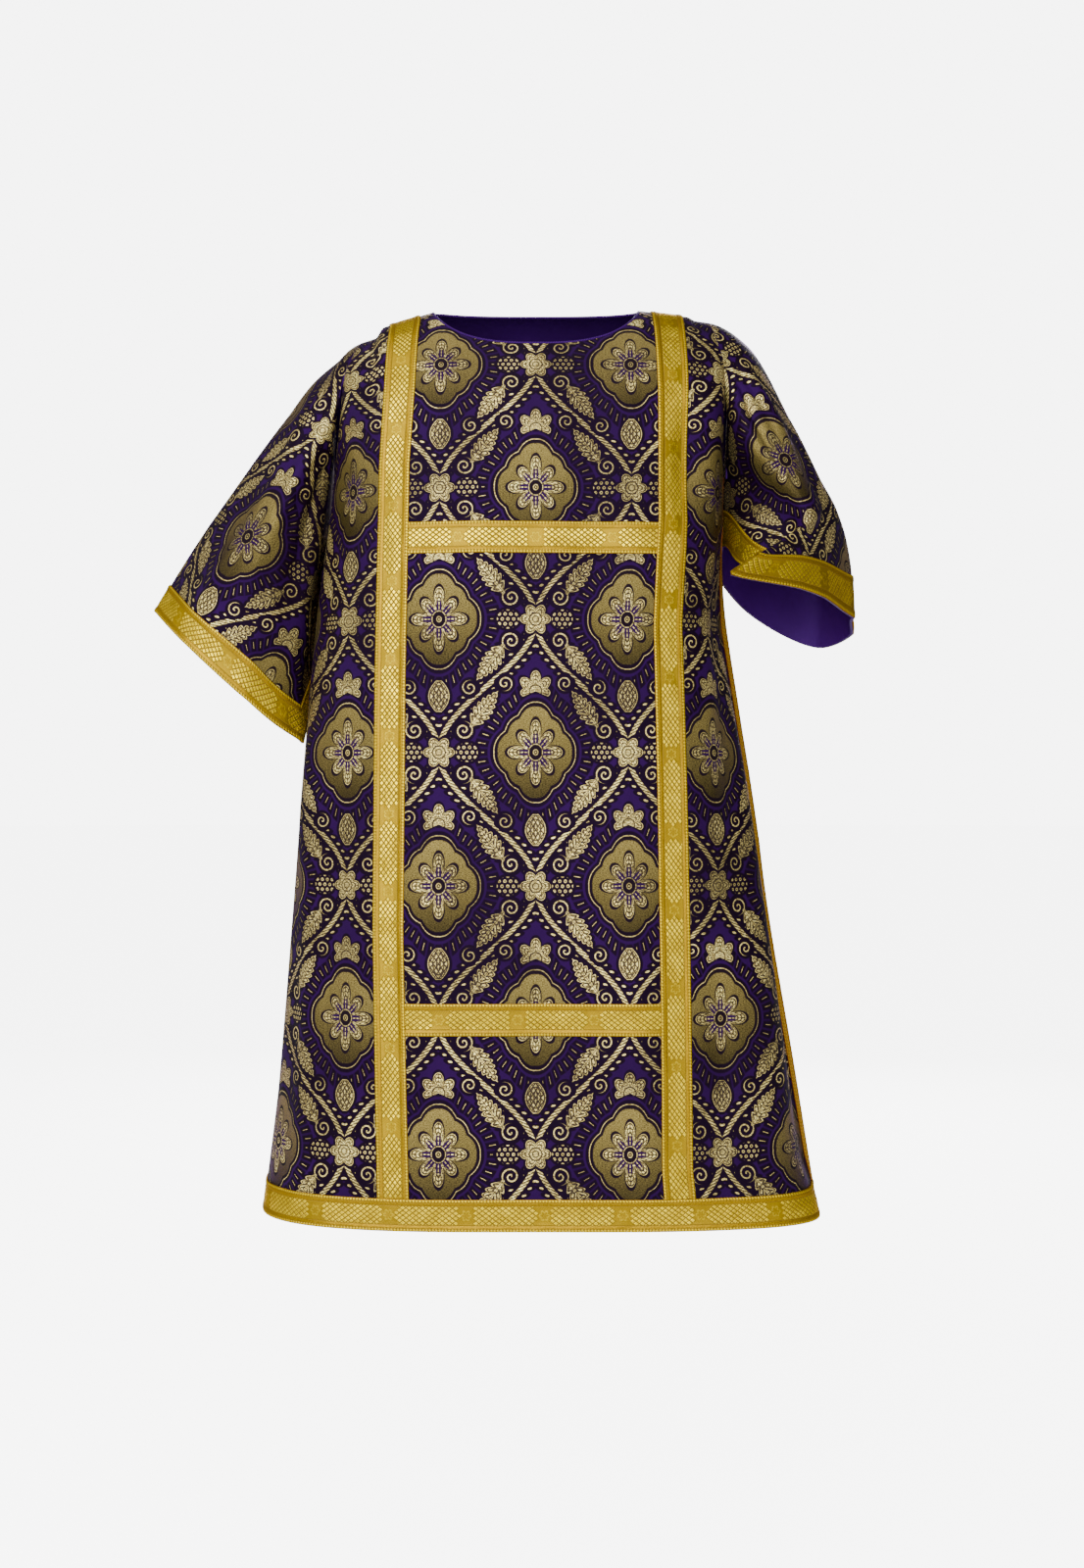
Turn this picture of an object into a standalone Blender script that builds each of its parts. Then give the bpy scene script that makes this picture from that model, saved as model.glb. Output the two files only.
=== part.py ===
"""Roman dalmatic, worn: an open-sided liturgical tunic of figured brocade with wide sleeves.

The garment keeps the hollow form that it has on a wearer whose right arm hangs and whose left
forearm lies across the chest. Left and right below are those of someone who faces it.

Axes: X to the right of someone who faces the garment, -Y to the front, +Z up, metres.
Origin: the middle of the neck opening, level with the two ends of the shoulder seams.
"""

import math

import bpy
import numpy as np

# ---------------------------------------------------------------- driving sizes

WALL = 0.002  # brocade with its lining
TRIM_WALL = 0.001  # galloon, narrow braid and sleeve facing
SEAM_GAP = 0.0003

NECK_HALF = 0.124  # middle of the neck opening to a shoulder seam
NECK_FRONT = 0.117  # depth of the scoop along the cloth, front and back
NECK_BACK = 0.022
NECK_ROUND = 2.8  # exponent of the scoop: 2 is an ellipse, more is squarer
PIPING_RADIUS = 0.00125
CORNER_SHARE = 1.15  # a cord's bends lie this much further off than its straight runs

GALLOON = 0.036  # width of the wide braid
CLAVUS_MIDDLE = 0.160  # middle of the garment to the middle of a vertical band
BAR_TOPS = (0.336, 0.874)  # down the front, from the shoulder line
BRAID = 0.010  # narrow braid on the open sides

SHOULDER_HALF = 0.217  # middle of the garment to the armhole seam
SHOULDER_FALL = {"left": 0.038, "right": 0.014}  # the raised arm squares its shoulder
FALL_START = 0.112  # the fall begins this far from the middle of the garment
FALL_ROUND = 1.15  # exponent of the fall across a shoulder: 1 is straight
FALL_ENDS = 0.26  # the fall has died out this far down the cloth,
FALL_FADE = 1.5  # as this power of the share that is left
SECTION_ROUND = 3.2  # exponent of a level section through a panel

# Level sections. down: along the cloth from the shoulder line. drop and out: height lost and
# distance from the shoulder line at the middle. left, right: half-widths. edge: out at the edge.
FRONT = {
    "down": (0, 0.04, 0.08, 0.12, 0.17, 0.24, 0.305, 0.40, 0.55, 0.62, 0.75, 0.95, 1.127),
    "drop": (0, 0.012, 0.034, 0.064, 0.108, 0.176, 0.240, 0.335, 0.485, 0.555, 0.685, 0.885, 1.062),
    "out": (0, 0.038, 0.071, 0.097, 0.119, 0.134, 0.141, 0.148, 0.155, 0.157, 0.160, 0.163, 0.163),
    "left": (0.217, 0.217, 0.218, 0.220, 0.223, 0.231, 0.238, 0.247, 0.261, 0.270, 0.282, 0.298, 0.320),
    "right": (0.217, 0.217, 0.217, 0.217, 0.217, 0.217, 0.217, 0.217, 0.236, 0.247, 0.265, 0.298, 0.328),
    "left_edge": (0, 0.030, 0.050, 0.062, 0.066, 0.036, 0.012, 0.010, 0.006, 0.004, 0, -0.005, -0.010),
    "right_edge": (0, 0.030, 0.050, 0.062, 0.066, 0.042, 0.028, 0.030, 0.034, 0.037, 0.042, 0.050, 0.058),
}
BACK = {
    "down": (0, 0.04, 0.08, 0.12, 0.17, 0.24, 0.318, 0.41, 0.56, 0.76, 0.96, 1.145),
    "drop": (0, 0.008, 0.026, 0.052, 0.094, 0.161, 0.238, 0.330, 0.480, 0.680, 0.879, 1.062),
    "out": (0, 0.038, 0.074, 0.102, 0.124, 0.134, 0.137, 0.138, 0.140, 0.145, 0.152, 0.160),
    "left": (0.217, 0.217, 0.218, 0.220, 0.223, 0.230, 0.238, 0.247, 0.261, 0.281, 0.297, 0.319),
    "right": (0.217, 0.217, 0.217, 0.217, 0.217, 0.217, 0.217, 0.217, 0.234, 0.262, 0.297, 0.326),
    "left_edge": (0, 0.030, 0.052, 0.066, 0.074, 0.062, 0.052, 0.048, 0.042, 0.036, 0.034, 0.032),
    "right_edge": (0, 0.030, 0.052, 0.066, 0.074, 0.062, 0.050, 0.044, 0.020, 0, -0.012, -0.020),
}
ARMHOLE = {"front": 0.270, "back": 0.283}  # depth along each panel's edge

# Guide lines along each sleeve, in the order that a ring meets them: over the arm, down the
# front, under the arm and up the back. turn: place round the ring. One column a ring: side is
# the distance from the middle of the garment, out is to the front, drop is below the origin.
LEFT_RINGS = (0.12, 0.30, 0.50, 0.70, 0.91, 1.00)  # share of the length, armhole to cuff
LEFT_GUIDES = {
    "outer": {
        "turn": 0.00,
        "side": (0.253, 0.298, 0.345, 0.391, 0.437, 0.456),
        "out": (0, 0, 0, 0.005, 0.010, 0.012),
        "drop": (0.074, 0.131, 0.196, 0.260, 0.329, 0.361),
    },
    "front": {
        "turn": 0.14,
        "side": (0.247, 0.281, 0.317, 0.354, 0.393, 0.407),
        "out": (0.065, 0.078, 0.082, 0.082, 0.078, 0.075),
        "drop": (0.115, 0.172, 0.236, 0.303, 0.372, 0.405),
    },
    "middle": {
        "turn": 0.28,
        "side": (0.239, 0.262, 0.284, 0.307, 0.330, 0.342),
        "out": (0.072, 0.086, 0.088, 0.085, 0.078, 0.075),
        "drop": (0.160, 0.215, 0.280, 0.345, 0.415, 0.457),
    },
    "fold": {
        "turn": 0.41,
        "side": (0.232, 0.246, 0.257, 0.267, 0.277, 0.281),
        "out": (0.040, 0.048, 0.046, 0.044, 0.038, 0.034),
        "drop": (0.190, 0.248, 0.312, 0.385, 0.463, 0.509),
    },
    "under": {
        "turn": 0.50,
        "side": (0.229, 0.238, 0.246, 0.254, 0.260, 0.262),
        "out": (0, -0.014, -0.024, -0.028, -0.028, -0.026),
        "drop": (0.205, 0.245, 0.295, 0.345, 0.398, 0.452),
    },
    "rear": {
        "turn": 0.68,
        "side": (0.242, 0.266, 0.292, 0.320, 0.345, 0.355),
        "out": (-0.070, -0.078, -0.080, -0.079, -0.074, -0.072),
        "drop": (0.150, 0.205, 0.270, 0.335, 0.405, 0.445),
    },
    "back": {
        "turn": 0.85,
        "side": (0.249, 0.286, 0.326, 0.366, 0.407, 0.422),
        "out": (-0.060, -0.066, -0.070, -0.070, -0.066, -0.062),
        "drop": (0.105, 0.160, 0.225, 0.292, 0.360, 0.393),
    },
}
# The raised forearm lifts this sleeve's front, which folds back on itself between crest and tuck.
RIGHT_RINGS = (0.12, 0.30, 0.50, 0.68, 0.80, 0.91, 1.00)
RIGHT_GUIDES = {
    "outer": {
        "turn": 0.00,
        "side": (0.254, 0.310, 0.348, 0.366, 0.372, 0.376, 0.378),
        "out": (0, 0.002, 0.008, 0.012, 0.015, 0.018, 0.020),
        "drop": (0.042, 0.134, 0.205, 0.248, 0.281, 0.318, 0.368),
    },
    "front": {
        "turn": 0.09,
        "side": (0.248, 0.290, 0.323, 0.335, 0.322, 0.302, 0.298),
        "out": (0.050, 0.055, 0.060, 0.070, 0.085, 0.115, 0.120),
        "drop": (0.062, 0.140, 0.206, 0.249, 0.275, 0.306, 0.344),
    },
    "crest": {
        "turn": 4 / 27,
        "side": (0.240, 0.273, 0.298, 0.318, 0.288, 0.256, 0.222),
        "out": (0.067, 0.076, 0.086, 0.094, 0.118, 0.150, 0.171),
        "drop": (0.080, 0.141, 0.206, 0.260, 0.287, 0.312, 0.340),
    },
    "crest_rear": {
        "turn": 5 / 27,
        "side": (0.236, 0.264, 0.288, 0.309, 0.284, 0.255, 0.222),
        "out": (0.072, 0.082, 0.092, 0.095, 0.107, 0.135, 0.154),
        "drop": (0.090, 0.141, 0.203, 0.261, 0.289, 0.305, 0.328),
    },
    "tuck": {
        "turn": 0.25,
        "side": (0.230, 0.246, 0.268, 0.299, 0.295, 0.282, 0.272),
        "out": (0.078, 0.090, 0.095, 0.085, 0.085, 0.110, 0.125),
        "drop": (0.105, 0.143, 0.194, 0.254, 0.283, 0.308, 0.333),
    },
    "inner": {
        "turn": 0.33,
        "side": (0.2245, 0.230, 0.241, 0.263, 0.261, 0.253, 0.238),
        "out": (0.075, 0.085, 0.085, 0.068, 0.065, 0.075, 0.075),
        "drop": (0.130, 0.146, 0.179, 0.224, 0.258, 0.285, 0.312),
    },
    "pit": {
        "turn": 0.42,
        "side": (0.2225, 0.2245, 0.2265, 0.228, 0.228, 0.227, 0.227),
        "out": (0.052, 0.050, 0.044, 0.032, 0.026, 0.022, 0.022),
        "drop": (0.165, 0.172, 0.188, 0.206, 0.223, 0.241, 0.284),
    },
    "under": {
        "turn": 0.50,
        "side": (0.2205, 0.2200, 0.2185, 0.216, 0.214, 0.213, 0.213),
        "out": (0, -0.004, -0.008, -0.012, -0.012, -0.012, -0.012),
        "drop": (0.197, 0.202, 0.210, 0.222, 0.235, 0.250, 0.290),
    },
    "rear": {
        "turn": 0.68,
        "side": (0.2275, 0.242, 0.257, 0.264, 0.264, 0.264, 0.260),
        "out": (-0.070, -0.070, -0.070, -0.068, -0.066, -0.064, -0.062),
        "drop": (0.120, 0.165, 0.212, 0.262, 0.285, 0.312, 0.354),
    },
    "back": {
        "turn": 0.85,
        "side": (0.240, 0.290, 0.322, 0.340, 0.347, 0.351, 0.348),
        "out": (-0.060, -0.062, -0.062, -0.061, -0.060, -0.060, -0.058),
        "drop": (0.070, 0.152, 0.215, 0.272, 0.310, 0.351, 0.398),
    },
}
SLEEVES = {"left": (LEFT_RINGS, LEFT_GUIDES), "right": (RIGHT_RINGS, RIGHT_GUIDES)}
SIGN = {"left": -1, "right": 1}
SHOULDER_CLEARANCE = 2 * SEAM_GAP  # a sleeve starts beside the edge of the panels' wall at the
SIDE_CLEARANCE = WALL + 2 * SEAM_GAP  # shoulder, and beside their outer face lower down
SIDEWAYS = 0.33  # share of an armhole's depth where the panels face fully sideways
SLEEVE_ROOM = 2 * WALL + TRIM_WALL + 5 * SEAM_GAP  # from a panel to a sleeve that lies along it
UNDERARM = (0.3, 0.6)  # shares of an armhole's depth between which a sleeve turns down
CUFF_START = 0.91  # share of the sleeve's length where the cuff band begins
LINING_START = 0.68  # the lining shows at the right cuff, from here on,
LINING_TURNS = (0.50, 1.0)  # in the rear half of the sleeve

# ---------------------------------------------------------------- mesh density

OUTER_CELLS = 4  # across a panel, from a clavus to the narrow braid
NECK_COLUMNS = (0.035, 0.068, 0.095, 0.114, NECK_HALF)
UPPER_SHARES = (0, 0.3, 0.65)  # rows from the neckline down to the first level row
FIRST_LEVEL = 0.135
PLAIN_ROWS = (0.18, 0.23, 0.46, 0.56, 0.66, 0.77, 1.0)
BACK_ROWS = (0.35,)
SLEEVE_ROWS = (0, 0.06, 0.12, 0.21, 0.30, 0.40, 0.50, 0.59, 0.68, 0.74, 0.80, 0.855, CUFF_START, 1)
RING_CELLS = 27
SECTION_STEPS = 64

# ---------------------------------------------------------------- colours

VIOLET_BROCADE = (0.090, 0.040, 0.150)
GOLD_BRAID = (0.560, 0.370, 0.075)
VIOLET_LINING = (0.075, 0.020, 0.190)


# ---------------------------------------------------------------- curves and sections

def through(places, values, at):
    """Smooth curve (cubic Hermite) through rows of values at rising places."""
    places = np.asarray(places, float)
    values = np.asarray(values, float)
    slopes = np.gradient(values, places, axis=0)
    at = np.clip(np.asarray(at, float), places[0], places[-1])
    row = np.clip(np.searchsorted(places, at) - 1, 0, len(places) - 2)
    step = places[row + 1] - places[row]
    s = (at - places[row]) / step
    if values.ndim == 2:
        step, s = step[:, None], s[:, None]
    start = (1 + 2 * s) * (1 - s) ** 2 * values[row] + s * (1 - s) ** 2 * step * slopes[row]
    end = s * s * (3 - 2 * s) * values[row + 1] + s * s * (s - 1) * step * slopes[row + 1]
    return start + end


def half_section(table, side, down):
    """Half of each level section, from the middle to the edge: x, out, and the length along it."""
    half, edge, out = (through(table["down"], table[c], down) for c in (side, side + "_edge", "out"))
    angle = np.linspace(0, math.pi / 2, SECTION_STEPS)
    x = half[:, None] * np.sin(angle) ** (2 / SECTION_ROUND)
    y = edge[:, None] + (out - edge)[:, None] * np.cos(angle) ** (2 / SECTION_ROUND)
    run = np.cumsum(np.hypot(np.diff(x), np.diff(y)), axis=1)
    return x, y, np.hstack([np.zeros((len(run), 1)), run])


def half_width(table, side, down):
    """Width of the flat panel on one side of its middle."""
    return half_section(table, side, np.atleast_1d(down))[2][:, -1]


def panel_points(table, across, down):
    """Points on a panel's inner face, from distances along the cloth: signed across, and down."""
    across, down = (np.asarray(v, float) for v in (across, down))
    points = np.zeros((len(across), 3))
    facing = -1 if table is FRONT else 1
    for side in ("left", "right"):
        mine = (across < 0) == (side == "left")
        if not mine.any():
            continue
        x, y, run = half_section(table, side, down[mine])
        reach = np.minimum(np.abs(across[mine]), run[:, -1])
        step = np.clip((run < reach[:, None]).sum(axis=1), 1, SECTION_STEPS - 1)
        row = np.arange(len(step))
        share = (reach - run[row, step - 1]) / (run[row, step] - run[row, step - 1])
        px = x[row, step - 1] + share * (x[row, step] - x[row, step - 1])
        py = y[row, step - 1] + share * (y[row, step] - y[row, step - 1])
        fade = np.clip(1 - down[mine] / FALL_ENDS, 0, 1) ** FALL_FADE
        past_neck = np.clip((px - FALL_START) / (SHOULDER_HALF - FALL_START), 0, None)
        fall = SHOULDER_FALL[side] * fade * past_neck**FALL_ROUND
        points[mine, 0] = SIGN[side] * px
        points[mine, 1] = facing * (py + SEAM_GAP / 2)
        points[mine, 2] = -through(table["down"], table["drop"], down[mine]) - fall
    return points


def neckline(across, depth):
    """How far down the cloth a panel starts, at each distance from its middle."""
    share = np.clip(np.abs(across) / NECK_HALF, 0, 1)
    return depth * (1 - share**NECK_ROUND) ** (1 / NECK_ROUND)


def armhole_points(side, turn):
    """Round an armhole: turn 0 at the shoulder, 0.5 under the arm, the front edge first."""
    turn = np.mod(turn, 1.0)
    points = np.zeros((len(turn), 3))
    for table, depth, mine, share in (
        (FRONT, ARMHOLE["front"], turn <= 0.5, turn * 2),
        (BACK, ARMHOLE["back"], turn > 0.5, 2 - turn * 2),
    ):
        down = depth * share[mine]
        if mine.any():
            points[mine] = panel_points(table, SIGN[side] * half_width(table, side, down), down)
    depth = 2 * np.minimum(turn, 1 - turn)
    sideways = np.clip(depth / SIDEWAYS, 0, 1)
    clear = SHOULDER_CLEARANCE + (SIDE_CLEARANCE - SHOULDER_CLEARANCE) * sideways
    points[:, 0] += SIGN[side] * clear
    return points


def beside_panels(side, points, lies_along):
    """Moves a sleeve's points out where they would meet the panels. lies_along: 0 to 1."""
    halves = [through(table["drop"], table[side], -points[:, 2]) for table in (FRONT, BACK)]
    least = np.max(halves, axis=0) + SLEEVE_ROOM * lies_along
    points[:, 0] = SIGN[side] * np.maximum(np.abs(points[:, 0]), least)
    return points


def sleeve_points(side, turn, along):
    """One ring of points on a sleeve's inner face."""
    rings, guides = SLEEVES[side]
    places = np.array([guide["turn"] for guide in guides.values()])
    starts = armhole_points(side, places)
    ring = []
    for start, guide in zip(starts, guides.values()):
        x = SIGN[side] * np.array(guide["side"])
        line = np.stack([x, -np.array(guide["out"]), -np.array(guide["drop"])], axis=1)
        ring.append(through((0, *rings), np.vstack([start, line]), np.array([along]))[0])
    ring = np.array(ring)
    wrapped = np.concatenate([places[-2:] - 1, places, places[:2] + 1])
    points = through(wrapped, np.vstack([ring[-2:], ring, ring[:2]]), turn)
    near_seam = max(0.0, 1 - along / rings[0]) ** 2
    first = through(wrapped, np.vstack([starts[-2:], starts, starts[:2]]), turn)
    points += near_seam * (armhole_points(side, turn) - first)
    depth = 2 * np.minimum(turn, 1 - turn)
    underarm = np.clip((depth - UNDERARM[0]) / (UNDERARM[1] - UNDERARM[0]), 0, 1)
    lies_along = np.maximum(underarm, min(1.0, along / rings[0]))
    return np.where(lies_along[:, None] > 0, beside_panels(side, points, lies_along), points)


# ---------------------------------------------------------------- grids on the cloth

def panel_grid(table, depth, levels):
    """(rows, columns, 3) points of a panel. Its columns follow the clavi and the side braid."""
    inner = sorted({0.0, *NECK_COLUMNS, CLAVUS_MIDDLE - GALLOON / 2, CLAVUS_MIDDLE + GALLOON / 2})
    rows = [("upper", share) for share in UPPER_SHARES] + [("level", down) for down in levels]
    grid = []
    for kind, value in rows:
        columns = {}
        for side in ("left", "right"):
            down = value if kind == "level" else value * FIRST_LEVEL
            width = half_width(table, side, down)[0]
            outer = np.linspace(inner[-1], width - BRAID, OUTER_CELLS + 1)[1:]
            columns[side] = SIGN[side] * np.array([*inner, *outer, width])
        across = np.concatenate([columns["left"][:0:-1], columns["right"]])
        top = neckline(across, depth)
        down = np.full(len(across), value) if kind == "level" else top + value * (FIRST_LEVEL - top)
        if kind == "upper":
            limit = np.where(
                across < 0, half_width(table, "left", down), half_width(table, "right", down)
            )
            outermost = np.abs(across) >= np.abs(across[[0, -1]]).min() - BRAID / 2
            across = np.where(outermost, np.sign(across) * limit, across)
        grid.append(panel_points(table, across, down))
    return np.array(grid)


def lerp_grid(grid, rows, columns):
    """Points between a grid's own, at fractional row and column numbers."""
    rows, columns = np.asarray(rows, float), np.asarray(columns, float)
    r = np.clip(np.floor(rows).astype(int), 0, grid.shape[0] - 2)
    c = np.clip(np.floor(columns).astype(int), 0, grid.shape[1] - 2)
    fr, fc = (rows - r)[:, None, None], (columns - c)[None, :, None]
    near = grid[np.ix_(r, c)] * (1 - fc) + grid[np.ix_(r, c + 1)] * fc
    far = grid[np.ix_(r + 1, c)] * (1 - fc) + grid[np.ix_(r + 1, c + 1)] * fc
    return near * (1 - fr) + far * fr


# ---------------------------------------------------------------- making objects

def material(name, colour, roughness, metallic):
    made = bpy.data.materials.new(name)
    made.use_nodes = True
    shader = made.node_tree.nodes["Principled BSDF"]
    shader.inputs["Base Color"].default_value = (*colour, 1)
    shader.inputs["Roughness"].default_value = roughness
    shader.inputs["Metallic"].default_value = metallic
    return made


def wall(name, grid, thickness, finish, collection, ring=False):
    """A cloth piece: the grid is its inner face, and the wall grows outwards from it.

    Returns the grid's vertex normals, so that trims can be laid on the piece.
    """
    rows, columns = grid.shape[:2]
    cells = columns if ring else columns - 1
    faces = []
    for r in range(rows - 1):
        for c in range(cells):
            d = (c + 1) % columns
            low, low_next = r * columns + c, r * columns + d
            high, high_next = low + columns, low_next + columns
            faces += [(low, high, high_next), (low, high_next, low_next)]
    mesh = bpy.data.meshes.new(name)
    mesh.from_pydata(grid.reshape(-1, 3).tolist(), [], faces)
    mesh.update()
    piece = bpy.data.objects.new(name, mesh)
    collection.objects.link(piece)
    mesh.materials.append(finish)
    mesh.shade_smooth()
    shell = piece.modifiers.new("Wall", "SOLIDIFY")
    shell.thickness = thickness
    shell.offset = 1
    return np.array([v.vector[:] for v in mesh.vertex_normals]).reshape(grid.shape)


def laid_on(grid, normals, rows, columns):
    """Points for a trim on a piece, moved out past its wall."""
    lifted = grid + normals * (WALL + SEAM_GAP)
    return lerp_grid(lifted, rows, columns)


def neck_loop(grids, normals, middle):
    """The neckline's own points and normals: across the front, then back across the back."""
    reach = len(NECK_COLUMNS)
    across = slice(middle - reach, middle + reach + 1)
    loop = []
    for rows in (grids, normals):
        front, back = rows["front"][0, across], rows["back"][0, across]
        ends = [(front[0] + back[-1]) / 2, (front[-1] + back[0]) / 2]
        loop.append(np.vstack([ends[0], front[1:-1], ends[1], back[1:-1]]))
    return loop


def piping(name, points, facing, collection, finish):
    """A round cord beside the neckline, level with the middle of the wall."""
    along = np.roll(points, -1, axis=0) - np.roll(points, 1, axis=0)
    into_neck = np.cross(facing, along)
    into_neck /= np.linalg.norm(into_neck, axis=1)[:, None]
    clear = (PIPING_RADIUS + SEAM_GAP) * CORNER_SHARE
    loop = points + into_neck * clear + facing * WALL / 2
    curve = bpy.data.curves.new(name, "CURVE")
    curve.dimensions = "3D"
    curve.bevel_depth = PIPING_RADIUS
    curve.bevel_resolution = 1
    spline = curve.splines.new("POLY")
    spline.points.add(len(loop) - 1)
    for point, place in zip(spline.points, loop):
        point.co = (*place, 1)
    spline.use_cyclic_u = True
    curve.materials.append(finish)
    piece = bpy.data.objects.new(name, curve)
    collection.objects.link(piece)


# ---------------------------------------------------------------- the garment

def build():
    for old in list(bpy.data.objects):
        bpy.data.objects.remove(old)
    parts = bpy.data.collections.new("dalmatic")
    bpy.context.scene.collection.children.link(parts)
    brocade = material("violet brocade", VIOLET_BROCADE, 0.55, 0.2)
    gold = material("gold galloon", GOLD_BRAID, 0.35, 0.8)
    lining = material("violet lining", VIOLET_LINING, 0.5, 0.0)

    # Rows of the two panels. The back's hem band is level with the front's.
    hem = {"front": FRONT["down"][-1], "back": BACK["down"][-1]}
    bar_edges = [edge for top in BAR_TOPS for edge in (top, top + GALLOON)]
    own_rows = {"front": bar_edges, "back": BACK_ROWS}
    levels = {
        name: sorted(
            [FIRST_LEVEL, ARMHOLE[name], *PLAIN_ROWS, *own_rows[name], end - GALLOON, end]
        )
        for name, end in hem.items()
    }
    grids, normals = {}, {}
    for name, table, depth in (("front", FRONT, NECK_FRONT), ("back", BACK, NECK_BACK)):
        grid = panel_grid(table, depth, levels[name])
        if name == "back":
            grid = grid[:, ::-1]  # so that its normals face out too
        normals[name] = wall(f"{name}_panel", grid, WALL, brocade, parts)
        grids[name] = grid
    columns = grids["front"].shape[1]
    middle = columns // 2
    clavus_inner = len(NECK_COLUMNS) + 1  # columns from the middle to a clavus
    row_of = {
        name: {down: len(UPPER_SHARES) + i for i, down in enumerate(rows)}
        for name, rows in levels.items()
    }

    # Clavi: one length of galloon from hem to hem over each shoulder.
    for side in ("left", "right"):
        strips = []
        for name in ("front", "back"):
            turned = SIGN[side] * (1 if name == "front" else -1)
            edges = sorted(middle + turned * c for c in (clavus_inner, clavus_inner + 1))
            last = row_of[name][hem[name] - GALLOON]
            rows = [*range(last), last - SEAM_GAP / (hem[name] - GALLOON - PLAIN_ROWS[-1])]
            strips.append(laid_on(grids[name], normals[name], rows, edges))
        front, back = strips[0], strips[1][:, ::-1]
        crown = (front[0] + back[0]) / 2
        clavus = np.vstack([front[:0:-1], crown[None], back[1:]])
        wall(f"clavus_{side}", clavus[::-1], TRIM_WALL, gold, parts)

    # Bars across the front, between the clavi.
    reach = clavus_inner - SEAM_GAP / (CLAVUS_MIDDLE - GALLOON / 2 - NECK_HALF)
    bar_columns = [middle - reach, *range(middle - clavus_inner + 1, middle + clavus_inner), middle + reach]
    for name, top in zip(("upper", "lower"), BAR_TOPS):
        rows = [row_of["front"][top], row_of["front"][top + GALLOON]]
        strip = laid_on(grids["front"], normals["front"], rows, bar_columns)
        wall(f"front_bar_{name}", strip, TRIM_WALL, gold, parts)

    # Hem bands, and the narrow braid on the four open edges above them.
    for name in ("front", "back"):
        rows = row_of[name]
        band = [rows[hem[name] - GALLOON], rows[hem[name]]]
        strip = laid_on(grids[name], normals[name], band, range(columns))
        wall(f"hem_band_{name}", strip, TRIM_WALL, gold, parts)
        last = band[0]
        gap = SEAM_GAP / (hem[name] - GALLOON - PLAIN_ROWS[-1])
        braid_rows = [*range(rows[ARMHOLE[name]], last), last - gap]
        for side in ("left", "right"):
            first = (side == "left") == (name == "front")
            edge = (0, 1) if first else (columns - 2, columns - 1)
            strip = laid_on(grids[name], normals[name], braid_rows, edge)
            wall(f"side_braid_{name}_{side}", strip, TRIM_WALL, gold, parts)

    piping("neck_piping", *neck_loop(grids, normals, middle), parts, lining)

    # Sleeves with their cuff bands.
    turn = np.arange(RING_CELLS) / RING_CELLS
    for side in ("left", "right"):
        order = turn if side == "left" else turn[::-1]
        grid = np.array([sleeve_points(side, order, along) for along in SLEEVE_ROWS])
        facing_out = wall(f"sleeve_{side}", grid, WALL, brocade, parts, ring=True)
        start = SLEEVE_ROWS.index(CUFF_START)
        band = grid[start:] + facing_out[start:] * (WALL + 2 * SEAM_GAP)
        wall(f"cuff_band_{side}", band, TRIM_WALL, gold, parts, ring=True)
        if side == "right":
            start = SLEEVE_ROWS.index(LINING_START)
            lined = (order >= LINING_TURNS[0]) & (order <= LINING_TURNS[1])
            inside = grid[start:, lined] - facing_out[start:, lined] * (TRIM_WALL + SEAM_GAP)
            wall("sleeve_lining_right", inside, TRIM_WALL, lining, parts)


build()
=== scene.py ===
"""Looks of the worn Roman dalmatic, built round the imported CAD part.

Left and right are those of someone who faces the garment. Cloth is worked out from distances
along the flat cut, so trims and patterns follow it: across from the middle, down from the
shoulder line. Axes: X right, -Y front, +Z up, metres.
"""
import math

import bpy
import numpy as np
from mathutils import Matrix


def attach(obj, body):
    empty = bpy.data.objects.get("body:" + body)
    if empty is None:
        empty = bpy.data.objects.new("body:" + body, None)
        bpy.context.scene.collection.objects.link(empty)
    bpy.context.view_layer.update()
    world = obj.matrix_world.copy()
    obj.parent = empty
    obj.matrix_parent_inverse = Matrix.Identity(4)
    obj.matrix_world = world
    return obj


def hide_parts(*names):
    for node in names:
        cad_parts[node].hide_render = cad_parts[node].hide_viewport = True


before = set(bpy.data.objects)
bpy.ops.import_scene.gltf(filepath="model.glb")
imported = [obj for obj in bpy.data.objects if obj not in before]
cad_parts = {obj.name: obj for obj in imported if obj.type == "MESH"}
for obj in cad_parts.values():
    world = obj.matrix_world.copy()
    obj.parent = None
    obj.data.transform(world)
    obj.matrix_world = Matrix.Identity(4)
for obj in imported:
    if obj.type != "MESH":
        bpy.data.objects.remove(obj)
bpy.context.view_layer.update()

# ---- sizes: the CAD's, or fitted to the photo

SEAM_GAP = 0.0003
CLOTH = 0.0018  # brocade and its lining, as shown
TRIM = 0.0009
NECK_HALF = 0.124
NECK_FRONT = 0.117
NECK_BACK = 0.022
NECK_ROUND = 2.8
PIPING_RADIUS = 0.0014
GALLOON = 0.036
CLAVUS_MIDDLE = 0.160
CLAVUS_EDGE = CLAVUS_MIDDLE - GALLOON / 2
BAR_TOPS = (0.336, 0.874)
BRAID = 0.010
SHOULDER_HALF = 0.217
SHOULDER_FALL = {"left": 0.038, "right": 0.014}
FALL_START = 0.112
FALL_ROUND = 1.15
FALL_ENDS = 0.26
FALL_FADE = 1.5
STEP_DOWN = {"left": 0.0118, "right": 0.0040}  # beside the stiff clavus, at the shoulder
STEP_WIDE = 0.010
STEP_ENDS = 0.22
TURN_OUT = (0, 0.0118, 0.0098, 0.0088, 0)  # the front's right edge turns out, so that its braid shows
TURN_WIDE = 0.018
TURN_PLACES = (0.33, 0.45, 0.85, 1.06, 1.11)  # down the cloth
TURN_ROUND = 1.2
SECTION_ROUND = 3.2
SECTION_STEPS = 128
FIRST_LEVEL = 0.135
ARMHOLE = {"front": 0.270, "back": 0.283}
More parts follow.
